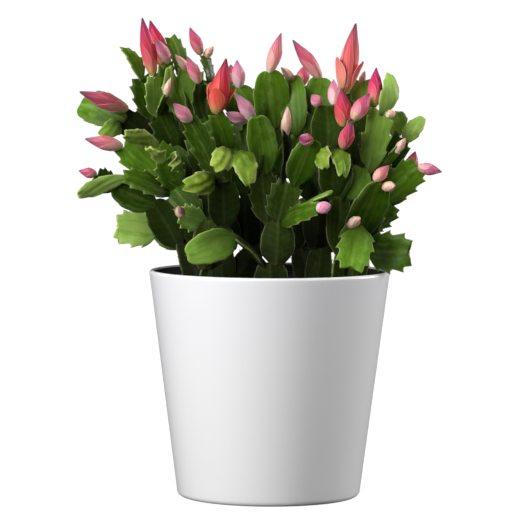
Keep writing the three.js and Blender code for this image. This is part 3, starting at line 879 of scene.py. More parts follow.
# %% [markdown]
# ## Bristles
# Each notch in the margin holds an areole, a tiny felted cushion with a few short bristles, and the tip holds
# one more. They are what shows that this is a cactus. One tuft is modelled from cones and copied to the
# notches of each kind of segment, so every copy of the segment brings its tufts along. Each bristle has three
# sides, because there will be thousands of them.

# %% Model one tuft
BRISTLES = ((0, 0, 1.5), (28, 20, 1.2), (30, 140, 1.3), (26, 260, 1.1))  # lean, turn and length of each
BRISTLE_RADIUS = 0.13
CUSHION_RADIUS = 0.5

parts = []
for lean, turn, length in BRISTLES:
    bristle = start_piece(
        "bristle",
        bpy.ops.mesh.primitive_cone_add,
        vertices=3,
        radius1=BRISTLE_RADIUS * MM,
        radius2=0,
        depth=length * MM,
        end_fill_type="NOTHING",
        location=(0, 0, length / 2 * MM),
    )
    tilt = Matrix.Rotation(math.radians(turn), 4, "Z") @ Matrix.Rotation(math.radians(lean), 4, "X")
    bristle.matrix_world = tilt @ bristle.matrix_world
    parts.append(end_editing(bristle))
cushion = start_piece(
    "cushion", bpy.ops.mesh.primitive_ico_sphere_add, subdivisions=1, radius=CUSHION_RADIUS * MM
)
bpy.ops.transform.resize(value=(1, 1, 0.6))
parts.append(end_editing(cushion))
tuft = join("tuft", parts)
print("tuft:", count_faces(tuft), "triangles")

# %% Set it in the notches
def set_tufts(piece, places):
    """Places are shares of the length and of the half width, and the angle at which the bristles point."""
    piece.data.materials.append(None)
    piece.data.materials.append(pale_bristles)
    parts = [piece]
    for along, across, angle in places:
        copy = copy_piece(tuft)
        spot = Matrix.Translation((across * HALF_WIDTH * MM, along * SEGMENT_LENGTH * MM, 0))
        turn = Matrix.Rotation(math.radians(-angle), 4, "Z") @ Matrix.Rotation(math.radians(-90), 4, "X")
        copy.data.transform(spot @ turn)
        note(copy, "along", along)
        note(copy, "across", 0.5)
        for face in copy.data.polygons:
            face.material_index = 1
        parts.append(copy)
    join(piece.name, parts)


pale_bristles, tree, shader = start_finish("pale bristles", 0.8)
tint = blend(tree, use_group(tree, patches, Size=3.0, Spread=0.2), "#a98f62", "#e6dcb8")
tree.links.new(tint, shader.inputs["Base Color"])
set_tufts(clawed, [(0.4, 0.8, 50), (0.36, -0.8, -50), (0.64, 0.82, 40), (0.6, -0.82, -40), (0.94, 0, 0)])
set_tufts(rounded, [(0.49, 0.94, 60), (0.45, -0.94, -60), (0.75, 0.87, 40), (0.71, -0.87, -40), (0.98, 0, 0)])
set_tufts(old, [(0.54, 0.93, 60), (0.5, -0.93, -60), (0.79, 0.85, 40), (0.75, -0.85, -40)])
set_tufts(young, [(0.5, 0.9, 50), (0.46, -0.9, -50), (0.76, 0.78, 45), (0.72, -0.78, -45), (0.98, 0, 0)])
bpy.data.objects.remove(tuft)
print([count_faces(piece) for piece in (clawed, rounded, old, young)], "triangles with the tufts")

# %% [markdown]
# ## The rooted stem
# Each cutting stands in the mix on an oval, woody piece of stem, brown like cork. It grows ring by ring like
# the pots, each ring scaled a little differently so that it looks grown. Then it is pressed to an oval and
# laid along the same line as a segment, so that the same copying serves both.

# %% Model the woody stem
STEM_RINGS = ((0, 1.0), (0.25, 0.94), (0.5, 1.04), (0.72, 1.0), (0.86, 0.9), (0.95, 1.02), (1.0, 0.8))
STEM_FLATNESS = 0.27

rings = [(girth * HALF_WIDTH, share * SEGMENT_LENGTH) for share, girth in STEM_RINGS]
stem = grow_rings("woody stem", rings, sides=12)
bpy.ops.transform.resize(value=(1, STEM_FLATNESS, 1))
bpy.ops.transform.rotate(value=math.radians(90), orient_axis="X", center_override=(0, 0, 0))
end_editing(stem)
apply_modifier(stem, "SUBSURF", levels=1, render_levels=1)
bpy.ops.object.shade_smooth()
note(stem, "along", [corner.co.y / (SEGMENT_LENGTH * MM) for corner in stem.data.vertices])
note(stem, "across", [corner.co.x / (HALF_WIDTH * MM) for corner in stem.data.vertices])
stem.data.materials.append(None)
print("woody stem:", count_faces(stem), "triangles")

# %% [markdown]
# ## The buds
# A Christmas cactus bud is a spindle of overlapping petals: three short ones at the base, three longer ones,
# and then the long inner petals, wound round each other and pointed. A lathe would give the spindle
# but not the overlaps that catch the light. So one flat petal is extruded row by row, like a segment, and
# copies of it are wrapped round a core, each row at the radius that its part of the bud has.

# %% Extrude one flat petal
PETAL_LENGTH = 30
PETAL_HALF_WIDTH = 5
PETAL_THICKNESS = 0.35
PETAL_COLUMNS = (0, 1 / 3, 2 / 3, 1)
PETAL_ROWS = [(0, 0.62), (0.1, 0.73), (0.21, 0.86), (0.32, 0.95), (0.43, 1.0), (0.54, 0.98), (0.65, 0.9)]
PETAL_ROWS += [(0.75, 0.76), (0.84, 0.57), (0.92, 0.33), (1, 0.05)]

half, long = PETAL_HALF_WIDTH * MM, PETAL_LENGTH * MM
petal = extrude_rows("petal", PETAL_ROWS, half, long, PETAL_COLUMNS)
note_place(petal, PETAL_ROWS, half, long)
end_editing(petal)
apply_modifier(petal, "SOLIDIFY", thickness=PETAL_THICKNESS * MM, offset=0)
print("petal:", count_faces(petal), "triangles")

# %% Wrap a petal round a bud
BUD_LENGTH = 30
BUD_RADIUS = 5
BUD_TWIST = 0.9  # radians, over the bud's length


def between(profile, share):
    """The radius of a profile of (share of the length, radius) at a share of the length."""
    for (low, before), (high, after) in zip(profile, profile[1:]):
        if share <= high:
            return before + (after - before) * max(0, (share - low) / (high - low))
    return profile[-1][1]


def smooth_between(profile, share):
    return sum(between(profile, share + step) for step in (-0.04, 0, 0.04)) / 3


def wrap_petal(start, end, profile, turn, width, overlap):
    """A copy of the petal from a start to an end on the bud. Its turn and its width are in radians."""
    copy = copy_piece(petal)
    heights = []
    for corner in copy.data.vertices:
        share = start + (end - start) * corner.co.y / (PETAL_LENGTH * MM)
        across = corner.co.x / (PETAL_HALF_WIDTH * MM)
        radius = smooth_between(profile, share) * BUD_RADIUS + overlap * across + corner.co.z / MM
        angle = -(turn + BUD_TWIST * share) + width * across
        corner.co = Vector((radius * math.cos(angle), radius * math.sin(angle), share * BUD_LENGTH)) * MM
        heights.append(share)
    note(copy, "height", heights)
    note(copy, "shade", (math.degrees(turn) * 0.37) % 1.0)  # differs from petal to petal
    return copy


print("a petal can be wrapped")

# %% Put a bud together
def model_bud(name, core, whorls):
    """A whorl is a count of petals, the first one's turn, start, end, profile, width and overlap."""
    rings = [(radius * BUD_RADIUS, share * BUD_LENGTH) for share, radius in core]
    piece = end_editing(grow_rings("core", rings, sides=12))
    shares = [corner.co.z / (BUD_LENGTH * MM) for corner in piece.data.vertices]
    for attribute, values in (("along", shares), ("across", 0.0), ("height", shares), ("shade", 0.5)):
        note(piece, attribute, values)
    parts = [piece]
    for count, first_turn, start, end, profile, width, overlap in whorls:
        for number in range(count):
            turn = math.radians(first_turn + 360 * number / count)
            parts.append(wrap_petal(start, end, profile, turn, math.radians(width), overlap))
    bud = join(name, parts)
    bpy.ops.object.shade_smooth_by_angle(angle=math.radians(50))
    return bud


print("a bud can be put together")

# %% Model the closed bud
core = [(0, 0.34), (0.04, 0.46), (0.09, 0.58), (0.15, 0.7), (0.3, 0.84), (0.45, 0.86), (0.6, 0.74)]
core += [(0.75, 0.5), (0.88, 0.24), (0.99, 0.02)]
inner = [(0.08, 0.58), (0.2, 0.8), (0.34, 0.93), (0.47, 0.95), (0.6, 0.84), (0.74, 0.6), (0.87, 0.33)]
inner += [(0.95, 0.15), (1.0, 0.03)]
middle = [(0.05, 0.5), (0.14, 0.74), (0.3, 0.95), (0.45, 1.02), (0.56, 0.95), (0.62, 0.86)]
outer = [(0.02, 0.44), (0.12, 0.7), (0.24, 0.9), (0.36, 0.99)]
whorls = [
    (5, 20, 0.1, 1.0, inner, 52, 0.28),
    (3, 0, 0.06, 0.62, middle, 58, 0.2),
    (3, 60, 0.03, 0.34, outer, 48, 0.1),
]
closed_bud = model_bud("closed bud", core, whorls)
print("closed bud:", count_faces(closed_bud), "triangles")

# %% Model the opening bud, whose middle petals stand away
core = [(0, 0.34), (0.04, 0.44), (0.1, 0.56), (0.25, 0.7), (0.4, 0.7), (0.55, 0.6), (0.72, 0.4)]
core += [(0.87, 0.2), (0.99, 0.02)]
inner = [(0.1, 0.6), (0.25, 0.8), (0.4, 0.84), (0.55, 0.75), (0.7, 0.56), (0.84, 0.33), (0.94, 0.14)]
inner += [(1.0, 0.03)]
middle = [(0.05, 0.5), (0.14, 0.76), (0.26, 1.0), (0.38, 1.16), (0.5, 1.4)]
outer = [(0.03, 0.42), (0.1, 0.6), (0.2, 0.8), (0.33, 0.94)]
whorls = [
    (5, 20, 0.1, 1.0, inner, 54, 0.3),
    (3, 0, 0.05, 0.5, middle, 40, 0.1),
    (3, 60, 0.03, 0.33, outer, 46, 0.1),
]
opening_bud = model_bud("opening bud", core, whorls)
print("opening bud:", count_faces(opening_bud), "triangles")

# %% Model the tiny bud, with two whorls only
core = [(0, 0.5), (0.1, 0.66), (0.25, 0.84), (0.45, 0.88), (0.7, 0.6), (0.9, 0.24), (0.99, 0.03)]
inner = [(0.1, 0.66), (0.3, 0.9), (0.45, 0.96), (0.7, 0.7), (0.9, 0.34), (1.0, 0.05)]
outer = [(0, 0.55), (0.3, 0.96), (0.55, 1.0)]
whorls = [(3, 0, 0.1, 1.0, inner, 66, 0.3), (3, 60, 0.02, 0.55, outer, 50, 0.1)]
tiny_bud = model_bud("tiny bud", core, whorls)
for spot in tiny_bud.data.attributes["height"].data:
    spot.value = 0.08 + 0.25 * spot.value  # so that it has the colours of an older bud's base
bpy.data.objects.remove(petal)
print("tiny bud:", count_faces(tiny_bud), "triangles")

# %% [markdown]
# ## Where everything grows
# A plant can't be placed by a simple rule: the photo shows where every segment points. Each cutting is
# therefore written as an outline, as a list with indents. A row grows from the tip of the row above that it
# is indented under. It gives what grows there, where its tip is, how wide it is, and which way it faces in
# degrees, 0 being towards the viewer. The frame was built from the same rows, all but two of the tiny buds.
#
# The last word of a row is for looks alone. For a segment it is how bright its colour is painted, from 0 to 9,
# which takes in the light and shade that fall on it as well as its own tone, and a letter before it gives its
# form: r is round, w is wide and drooping, c is clawed, g is a young one that is already green, and d is one
# that turns a dull olive. For a bud it is two digits, how coral it is and how pale. A row without that word
# gets a look by where it is.

# %% Write the outlines: kind, tip x, y, z, width, facing, look
OUTLINES = {
    "left": """
stub -40 -10 121 9 20
  old -37 -16 138 12 50
    old -36 -12 165 17 15
      leaf -53 -26 168 15 20 c6
        tiny -53 -36 173 6 0
      leaf -57 -7 183 16 10 3
        leaf -86 -23 190 14 90 c4
          young -111 -36 179 10 40 g9
        leaf -88 -9 208 17 0 c5
          bud -108.5 -15 211.5 8.5 0 56
        leaf -62 -20 200 17 10 c5
          young -72 -34 204 11 -30 9
          young -54 -39 197 11 40 9
        leaf -67 -9 208 15 20 c4
          young -83 -26 213 11 -20 8
      leaf -51 7 186 16 20 2
        leaf -60 10 206 17 0 r3
          leaf -88 6 224.5 18 0 c0
            bud -112 -12 239 9.5 0 54
            leaf -113.5 20 236 16 10 w5
            young -99.5 -9 214 10.5 0 g7
          leaf -66 7 227 17 15 c2
            leaf -77 -1 248 16 10 c3
              leaf -87 12 265 11 45 c5
            leaf -69 -7 249 12 25 c9
              bud -75.5 -12 282.5 9 0 61
            leaf -63 8 254 11 10 4
              bud -71.5 10 281 10 0 70
            leaf -60 -3 257 9 30 c6
              bud -67 -15 270 7 0 27
            leaf -61 -12 239 9 45 c5
              tiny -58.5 -14 247.5 5 0
      leaf -42 4 192 18 10 1
        leaf -43 7 225 18 15 c3
          leaf -49 4 254 18 0 c6
            tiny -56 -7 261 5 0
          leaf -42 -7 245 11 40 3
            bud -49 -12 260 7 0 35
          leaf -36 15 245 13 35 4
            leaf -40 15 261 9 45 d4
              bud -48 10 277 7 0 33
              tiny -34 10 266 5 0
          leaf -53 18 250 13 40 c5
            leaf -60 15 272 12 40 c5
          young -58 -9 254 12 45 g9
    old -26 -18 161 16 -10 1
      leaf -28 -28 190 18 0 r1
        young -47 -47 186 14 0 5
        leaf -47 -34 224 15 -15 c3
          bud -56 -42 233 8 0 37
        leaf -24 -17 207 15 -10 2
          leaf -32 -23 227 15 -20 c4
            open -26 -28 259 13 0 91
        leaf -20 -44 206 14 10 c3
          young -31 -58 198 14 -10 7
          young -12 -61 190 14 10 5
  old -52 -6 151 15 40 1
    leaf -69 -12 175 19 0 r1
      leaf -92 -17 184 18 0 r3
        leaf -102 -17 191 13 0 c1
          bud -112 -20 193 6 0 34
    leaf -68 12 156 13 0 r3
      leaf -92 10 159 21 0 c8
""",
    "front": """
stub 2 -14 121 11 0
  old 0 -16 140 20 0 1
    old 5 -16 164 20 5 2
      leaf 11 -20 188 19 -5 d3
        leaf 24.5 -35 212.5 18 10 r4
          bud 16.5 -44 214 7 0 04
        leaf 9 -15 217 12 60 c0
          tiny 10 -17 231 6 0
      leaf 35 -42 182 14 -125 r7
      leaf 28 -47 173 13 -110 c4
        bud 35 -54 175 7 0 08
      leaf -5 -17 194 17 0 d2
        leaf -8 -34 226 17 0 r5
        leaf -12 -15 222 14 -20 2
          bud -20 -26 238.5 8 0 09
          bud -26 -28 227.5 7 0 09
      leaf 2 10 192 17 0 1
        leaf 0 7 221 17 0 3
          leaf -1 2 252 21 0 r5
            bud 6 2 274 8 0 67
          leaf -19 10 242 14 10 r4
            bud -20 7 258 8 0 18
        leaf 20 4 214 16 0 r4
          leaf 13 14 249 16 -10 r5
            tiny 6 -4 254 5 0
          leaf 27 10 226 16 0 r4
            leaf 30 15 248 18 0 r5
              bud 13 10 270 8.5 0 44
    old -21 -26 155.5 12 100 2
      leaf -48.5 -42 145 18.5 0 r7
""",
    "right": """
stub 44 -10 121 10 30
  old 43 -14 148 14 35 2
    old 41 -19 180 16 20 3
      leaf 37 -28 207 17 10 r2
        bud 47 -40 223 8.5 0 52
        young 43 -47 195 12 20 4
        young 30 -47 199 12 -20 5
      leaf 39 -12 207 18 -10 3
        leaf 33 -17 232 20 -10 r2
          bud 24 -20 238 7 0 27
          bud 37 -7 247 7 0 17
        leaf 43 -15 219 13 -30 3
          bud 41.5 -20 242 10 0 71
        leaf 43 2 239 14 0 2
          open 50 -1 280 13 0 84
      leaf 53 -15 196 18 0 r6
        leaf 65 -20 230 16 -10 c7
          tiny 73 -17 228 5 0
          young 71 -9 251 12 30 g9
          bud 62 -9 254 8.5 0 30
        leaf 48 -28 224.5 13 40 4
          bud 57.5 -23 239 9 0 23
        leaf 54 10 222 16 0 2
          leaf 54 12 247 17 0 c6
            tiny 56 12 252 4 0
    old 50 -28 163 14 0 4
      tiny 52 -46 167.5 6 0
      leaf 47 -42 137 20 0 c6
  old 54 -8 150 16 0 2
    leaf 64 -34 188 21 20 r4
      bud 69 -36 197.5 7 0 77
      tiny 72 -44 186 6 0
    leaf 62 4 178 16 0 3
      leaf 88 -7 197 19 0 c5
        bud 101 -9 193 7 0 15
      leaf 78 -1 215 16 0 c3
        young 76 -7 228 12 0 g9
        young 90 -4 225 10 -20 g9
      leaf 76 -15 208 9 40 c6
        tiny 79 -17 213 5 0
    leaf 83 -24 146 23 0 c4
""",
    "back_left": """
stub -26 17 121 9 180
  old -28 21 147 16 170
    old -32 24 174 18 180
      leaf -44 28 200 18 190
        leaf -56 31 221 18 180
          leaf -62 35 240 16 170
            bud -66 38 256 9 0
          leaf -76 36 226 15 200
        leaf -72 43 196 17 200
          bud -82 54 204 8 0
      leaf -22 31 203 18 180
        leaf -16 33 226 18 180
          leaf -6 50 236 15 170
          leaf -22 33 244 15 200
            bud -24 36 255 8 0
          bud -6 38 240 9 0
        leaf -32 47 218 16 160
          bud -36 57 230 9 0
      leaf -34 50 186 18 180
        leaf -20 68 200 17 190
          leaf -14 82 212 14 180
        leaf -40 70 196 17 200
    leaf -58 36 156 18 200
      leaf -78 45 168 20 200
        leaf -86 52 152 17 200
          bud -92 60 146 7 0
        bud -90 54 182 9 0
    leaf -38 47 154 17 180
      leaf -44 70 150 20 180
  old -8 24 146 16 180
    leaf -15 24 176 18 180
      leaf -7 20 203 17 180
    leaf 4 45 168 18 180
      leaf -2 62 182 17 170
        bud -6 76 194 8 0
    leaf -4 52 154 19 180
      leaf -10 75 160 17 180
        bud -14 90 168 8 0
      leaf 10 69 146 18 180
""",
    "back_right": """
stub 26 13 121 9 160
  old 31 19 147 16 180
    old 31 22 176 18 180
      leaf 40 26 202 18 180
        leaf 52 29 222 18 180
          bud 60 32 238 9 0
          leaf 44 33 242 16 170
        leaf 64 38 210 16 170
      leaf 16 29 203 18 190
        leaf 12 31 226 18 180
          leaf 18 33 243 14 160
            bud 21 36 255 8 0
          bud 4 40 239 8 0
        leaf 22 47 217 16 200
          bud 26 57 230 9 0
      leaf 34 49 188 18 180
        leaf 20 68 186 17 190
          leaf 12 84 194 15 180
        leaf 40 68 200 16 160
          bud 46 79 213 9 0
          young 34 80 196 11 180
    leaf 54 33 162 18 160
      leaf 66 44 186 18 150
        leaf 76 56 202 16 150
      leaf 74 40 172 19 160
        leaf 84 46 190 14 150
          bud 88 50 203 8 0
      leaf 62 56 162 17 150
        bud 68 70 170 9 0
  old 18 28 146 15 190
    leaf 16 30 172 16 180
    leaf 22 52 166 18 200
      leaf 16 70 170 16 180
    leaf 36 54 152 19 150
      leaf 42 77 146 18 180
      leaf 56 66 148 17 125
""",
}
print(sum(len(text.split("\n")) - 2 for text in OUTLINES.values()), "rows")

# %% [markdown]
# The branches that share a tip sit side by side across it. A segment's foot is sunk into the notch that it
# grows from, and a bud stands on it. From its foot and its tip follow its direction, its flat face and its
# side, and these carry a copy of the modelled segment to its place.

# %% Set how a branch sits on the one before
ROOT_DEPTH = 22  # millimetres of stem below the top of the mix
JOINT_DEPTH = 1.5  # millimetres of a segment's foot inside the one before
JOINT_SPREAD = 0.3  # how far out the branches at a tip sit, as a share of its width
TIP_NOTCH = 0.07  # how deep a tip's notch is, as a share of the length
NOTCH_REACH = 0.4  # how far out the notch goes, as a share of the half width
CLEARANCE = 0.3  # millimetres between a bud and its segment
BUD_FOOT = 0.34  # a bud's radius at its base, as a share of its half width
BUD_KINDS = ("bud", "open")


def find_base(item, siblings):
    parent, tip = item["parent"], item["tip"]
    if parent is None:
        return Vector((tip.x, tip.y, SOIL_TOP - ROOT_DEPTH))
    order = sorted(siblings, key=lambda other: (other["tip"] - parent["tip"]).dot(parent["side"]))
    share = 2 * order.index(item) / (len(order) - 1) - 1 if len(order) > 1 else 0
    across = share * JOINT_SPREAD * parent["width"] * min(1, len(order) / 3)
    base = parent["tip"] + parent["side"] * across
    way = (tip - base).normalized()
    notch = TIP_NOTCH * parent["length"]
    if item["kind"] not in BUD_KINDS:
        return base - parent["axis"] * notch - way * JOINT_DEPTH
    foot = BUD_FOOT * item["width"] / 2
    depth = notch * max(0, 1 - (abs(across) + foot) / (NOTCH_REACH * parent["width"] / 2))
    return base - parent["axis"] * depth + way * CLEARANCE


print("a branch finds its foot")

# %% Read the outlines, and work out the place of every item
def place_item(item, siblings):
    item["base"] = find_base(item, siblings)
    reach = item["tip"] - item["base"]
    face = math.radians(item["face"])
    item["length"] = reach.length
    item["axis"] = reach.normalized()
    flat = Vector((math.sin(face), -math.cos(face), 0))
    item["normal"] = (flat - item["axis"] * flat.dot(item["axis"])).normalized()
    item["side"] = item["axis"].cross(item["normal"])


def read_outline(text):
    items, above, branches = [], {}, {}
    for row, line in enumerate(text.strip("\n").split("\n")):
        depth = (len(line) - len(line.lstrip())) // 2
        kind, *numbers = line.split()
        look = numbers.pop() if len(numbers) > 5 else ""
        x, y, z, width, face = map(float, numbers)
        parent = above.get(depth - 1) if depth else None
        item = {"row": row, "kind": kind, "width": width, "face": face, "look": look}
        item.update(tip=Vector((x, y, z)), parent=parent)
        above[depth] = item
        branches.setdefault(parent and parent["row"], []).append(item)
        items.append(item)
    for item in items:
        place_item(item, branches[item["parent"] and item["parent"]["row"]])
    return items


plants = {name: read_outline(text) for name, text in OUTLINES.items()}
print({name: len(items) for name, items in plants.items()}, "items")

# %% [markdown]
# ## The green of the segments
# Some segments catch the light and others are deep green in the shade of their neighbours, and this light
# and shade is painted into each segment's colour. The youngest are a crumpled yellow-green and the oldest a
# dull olive. Every segment has a pale thin margin, painted paler where the segment is lit, a lighter rib,
# and a darker foot and lighter tip, which are painted shade and light. The attributes that were kept on the
# blade tell the finish where on the segment it is, so the pattern follows the form wherever the segment
# points. Two more tell how old it is and its tone, which takes in painted light and shade and runs from dark
# to bright. One colour with noise would be less work, and would look like plastic.

# %% Start the green finish with a mature segment
green, tree, shader = start_finish(
    "waxy green skin", 0.4, Subsurface_Weight=0.08, Subsurface_Scale=2 * MM, Specular_IOR_Level=0.1
)
shader.inputs["Subsurface Radius"].default_value = (0.6, 1.0, 0.2)
along, across, age = read(tree, "along"), read(tree, "across"), read(tree, "age")
from_rib = calculate(tree, "ABSOLUTE", across)
cloudy = use_group(tree, patches, Size=8.0, Spread=0.25)
# painted light and shade: the tone runs from a segment in deep shade to one in full light, and the patches add
# a little random tone
painted_light_and_tone = calculate(tree, "MULTIPLY_ADD", cloudy, 0.12, read(tree, "painted_light_and_tone"))
mature = [(0.0, "#0a0f02"), (0.22, "#223303"), (0.44, "#345206"), (0.67, "#5a841a"), (0.89, "#8ab24a")]
mature = ramp(tree, painted_light_and_tone, mature + [(1.0, "#a2c85e")])
# painted highlight: pale streaks along the blade only where the segment is lit; darker streaks along it on
# every segment
lengthwise = add_node(tree, "CombineXYZ", {"X": across, "Y": along, "Z": painted_light_and_tone}).outputs[0]
stretch = add_node(tree, "VectorMath", {0: lengthwise, 1: (3.5, 0.7, 9.0)}, operation="MULTIPLY").outputs[0]
bands = add_node(tree, "TexNoise", {"Vector": stretch, "Scale": 1.0, "Detail": 2.0}).outputs["Fac"]
bright = calculate(tree, "MULTIPLY", spread(tree, bands, 0.5, 0.7, 0.0, 0.3), spread(tree, painted_light_and_tone, 0.2, 0.6))
mature = blend(tree, bright, mature, "#9db56c")
mature = blend(tree, spread(tree, bands, 0.5, 0.34, 0.0, 0.36), mature, blend(tree, 0.6, mature, "#0f1c02"))
print("mature green")

# %% Turn it olive with age, and lime when it is young
# the olive and the lime also have darker shaded and brighter lit versions along the same painted tone
olive = ramp(tree, painted_light_and_tone, [(0.0, "#0e0f05"), (0.4, "#36391a"), (1.0, "#74723f")])
lime = ramp(tree, painted_light_and_tone, [(0.2, "#3f5a10"), (0.5, "#6a8a22"), (0.9, "#9cb848"), (1.0, "#b0cc66")])
lime = blend(tree, spread(tree, along, 0.1, 0.6, 0.5, 0.0), lime, "#4f6a18")
creases = use_group(tree, grain, Size=4.0)
# painted shade in the creases of a young segment, and painted highlight on their ridges
lime = blend(tree, spread(tree, creases, 0.56, 0.36, 0.0, 0.5), lime, blend(tree, 0.7, lime, "#3c5a0c"))
lime = blend(tree, spread(tree, creases, 0.56, 0.72, 0.0, 0.3), lime, "#bcc868")
flecks = spread(tree, use_group(tree, grain, Size=1.8), 0.56, 0.66, 0.0, 0.7)
flecks = calculate(tree, "MULTIPLY", flecks, spread(tree, along, 0.4, 0.9))
lime = blend(tree, flecks, lime, "#7a6426")
tint = blend(tree, spread(tree, age, 0.7, 0.95, 0.0, 0.65), mature, olive)
tint = blend(tree, spread(tree, age, 0.15, 0.28, 1.0, 0.0), tint, lime)
print("olive and lime")

# %% Draw its veins and rib, with painted shade at its foot and painted light on its margin
VEIN_WAVES = 44.0  # radians along a segment, which makes seven veins a side
VEIN_SLANT = -0.16

slant = calculate(tree, "MULTIPLY_ADD", from_rib, VEIN_SLANT, along)
veins = calculate(tree, "SINE", calculate(tree, "MULTIPLY", slant, VEIN_WAVES))
in_light = spread(tree, painted_light_and_tone, 0.1, 0.45, 0.25, 1.0)
veins = calculate(tree, "MULTIPLY", spread(tree, veins, 0.7, 1.0, 0.0, 0.05), in_light)
tint = blend(tree, veins, tint, "#8ea04a")
rib = calculate(tree, "MULTIPLY", spread(tree, from_rib, 0.02, 0.12, 0.25, 0.0), in_light)
tint = blend(tree, rib, tint, blend(tree, 0.4, tint, "#a3b45a"))
# painted shade and light: darker towards the foot, which the plant shades, and lighter towards the tip, which
# reaches the light
tint = blend(tree, 1.0, tint, spread(tree, along, 0.0, 0.85, 0.45, 1.12), "MULTIPLY")
# the pale margin is partly the skin's own and partly a painted rim highlight, stronger the more the segment is
# lit
margin = spread(tree, painted_light_and_tone, 0.1, 0.6, 0.12, 0.5)
margin = calculate(tree, "MULTIPLY", spread(tree, from_rib, 0.93, 1.0), margin)
tint = blend(tree, margin, tint, blend(tree, 0.6, tint, "#d3dba0"))
youth = spread(tree, age, 0.15, 0.35, 1.0, 0.0)
pale_brim = calculate(tree, "MULTIPLY", spread(tree, from_rib, 0.8, 1.0, 0.0, 0.5), youth)
tint = blend(tree, pale_brim, tint, "#cdd890")
tint = blend(tree, spread(tree, along, 0.02, 0.1, 0.6, 0.0), tint, "#4a4826")
tree.links.new(tint, shader.inputs["Base Color"])
print("veins, rib, foot and margin")

# %% Make it waxy where it is bright, and wrinkled where it is young
skin = spread(tree, use_group(tree, grain, Size=2.2), 0.35, 0.65, 0.3, 0.46)
skin = calculate(tree, "ADD", skin, spread(tree, painted_light_and_tone, 0.1, 0.5, 0.35, 0.0))
tree.links.new(skin, shader.inputs["Roughness"])
deep_creases = spread(tree, age, 0.15, 0.35, 14.0, 0.0)
wrinkles = calculate(tree, "MULTIPLY_ADD", creases, deep_creases, use_group(tree, grain, Size=0.8))
bumps(tree, shader, wrinkles, 0.25, 0.2)
print("waxy green skin")

# %% [markdown]
# The old rooted stems are corky: buckskin brown and rough, and greener towards the top.

# %% Mix the cork finish
cork, tree, shader = start_finish("cork", 0.85)
tint = blend(tree, use_group(tree, patches, Size=4.0, Spread=0.15), "#3f3a22", "#75694a")
tint = blend(tree, spread(tree, read(tree, "along"), 0.75, 1.0, 0.0, 0.7), tint, "#49522a")
tree.links.new(tint, shader.inputs["Base Color"])
bumps(tree, shader, use_group(tree, grain, Size=1.4), 0.6, 0.4)
print("cork")

# %% [markdown]
# ## Setting the segments in place
# A copy is stretched to its item's length and width but keeps its thickness. It is arched along its length
# and folded along its rib as the frame's segment is, and then it gets what no two segments share: a slight
# wave of the margin, a twist and a sway to one side, all of which fade out towards its base and its tip. A
# young one is limp and crumpled like a small hood: its sides and its tip curl away and its margin is ruffled.

# %% Crumple a young segment
def crumple(across, along, half, length, phase):
    """How far a young segment's skin leaves the blade's own plane, in millimetres."""
    curl = max(0, along - 0.55) ** 2 * length * 0.8
    hood = across * across * half * (0.35 + 0.15 * along)
    ruffle = across**4 * math.sin(15 * along + phase) + 0.8 * along**4 * math.sin(8 * across + phase)
    buckle = math.sin(11 * along + 3 * across + phase) * math.sin(6 * across - phase) * math.sin(3 * along)
    return 1.3 * ruffle + 0.9 * buckle - curl - hood


print("a young segment can be crumpled")

# %% Carry a segment to its item
FORMS = {"old": (0.03, 0.05), "leaf": (0.06, 0.12), "young": (0.17, 0.1), "stub": (0, 0)}  # arch, fold
FULLER = 1.06  # the blades are a little wider than the frame's, so that they close up
GREEN_CRUMPLE = 0.4  # a young one that is already green is less crumpled
DROOP = 5


def carry_segment(master, item, rng):
    copy = copy_piece(master)
    arch, fold = FORMS[item["kind"]]
    fold += rng.uniform(0, 0.16) if item["kind"] == "leaf" else 0
    length, half = item["length"], item["width"] / 2 * FULLER
    lift = arch * length * (-1 if item["normal"].z < 0 else 1)
    wave, phase = rng.uniform(0.2, 0.8), rng.uniform(0, 6.3)
    sway, twist = rng.uniform(-0.5, 0.5), rng.uniform(-0.12, 0.12)
    form = item["look"][:1]
    droop = DROOP if form == "w" else 0
    half *= 1 + 0.05 * droop
    if item["kind"] == "stub":
        half, wave, sway, twist = item["width"] / 2, 0, 0, 0
    for corner in copy.data.vertices:
        across, along = corner.co.x / (HALF_WIDTH * MM), corner.co.y / (SEGMENT_LENGTH * MM)
        middle = max(0, math.sin(math.pi * min(max(along, 0), 1)))
        rise = corner.co.z / MM + 4 * lift * along * (1 - along)
        rise += fold * (math.hypot(across, 0.1) - 0.1) * half * middle
        rise += wave * across * across * middle * math.sin(7 * along + phase + across)
        rise += across * half * twist * middle
        if item["kind"] == "young":
            rise += crumple(across, along, half, length, phase) * (GREEN_CRUMPLE if form == "g" else 1)
        aside = across * half + sway * middle
        place = item["base"] + item["axis"] * (along * length) + item["side"] * aside + item["normal"] * rise
        place.z -= droop * max(0, along) ** 1.5
        corner.co = place * MM
    return copy


print("a segment can be carried to its item")

# %% [markdown]
# A row's look gives the shape, and the tone with its painted light and shade. Where a row has none, the
# segments deep inside the plant are painted darker, as shade, than those that reach the light, and the broad
# high ones round.

# %% Choose a segment's shape, and its tone with painted light and shade
AGES = {"young": 0.05, "leaf": 0.5, "old": 0.85, "stub": 1.0}
AGES_BY_LOOK = {"g": 0.3, "d": 0.82}
SHAPES = {"young": young, "old": old, "stub": stem}
HIGH = 165
NEAR_MIDDLE = 55
BROAD = 15


def share_in_light(place):
    """0 deep inside the plant and 1 on its outside, by where each side's dark ends and its light begins."""
    sides = ((abs(place.x), 25, 70), (-place.y, 22, 44), (place.y, 30, 60), (place.z, HIGH, 235))
    return min(1, max(0, *((value - dark) / (light - dark) for value, dark, light in sides)))


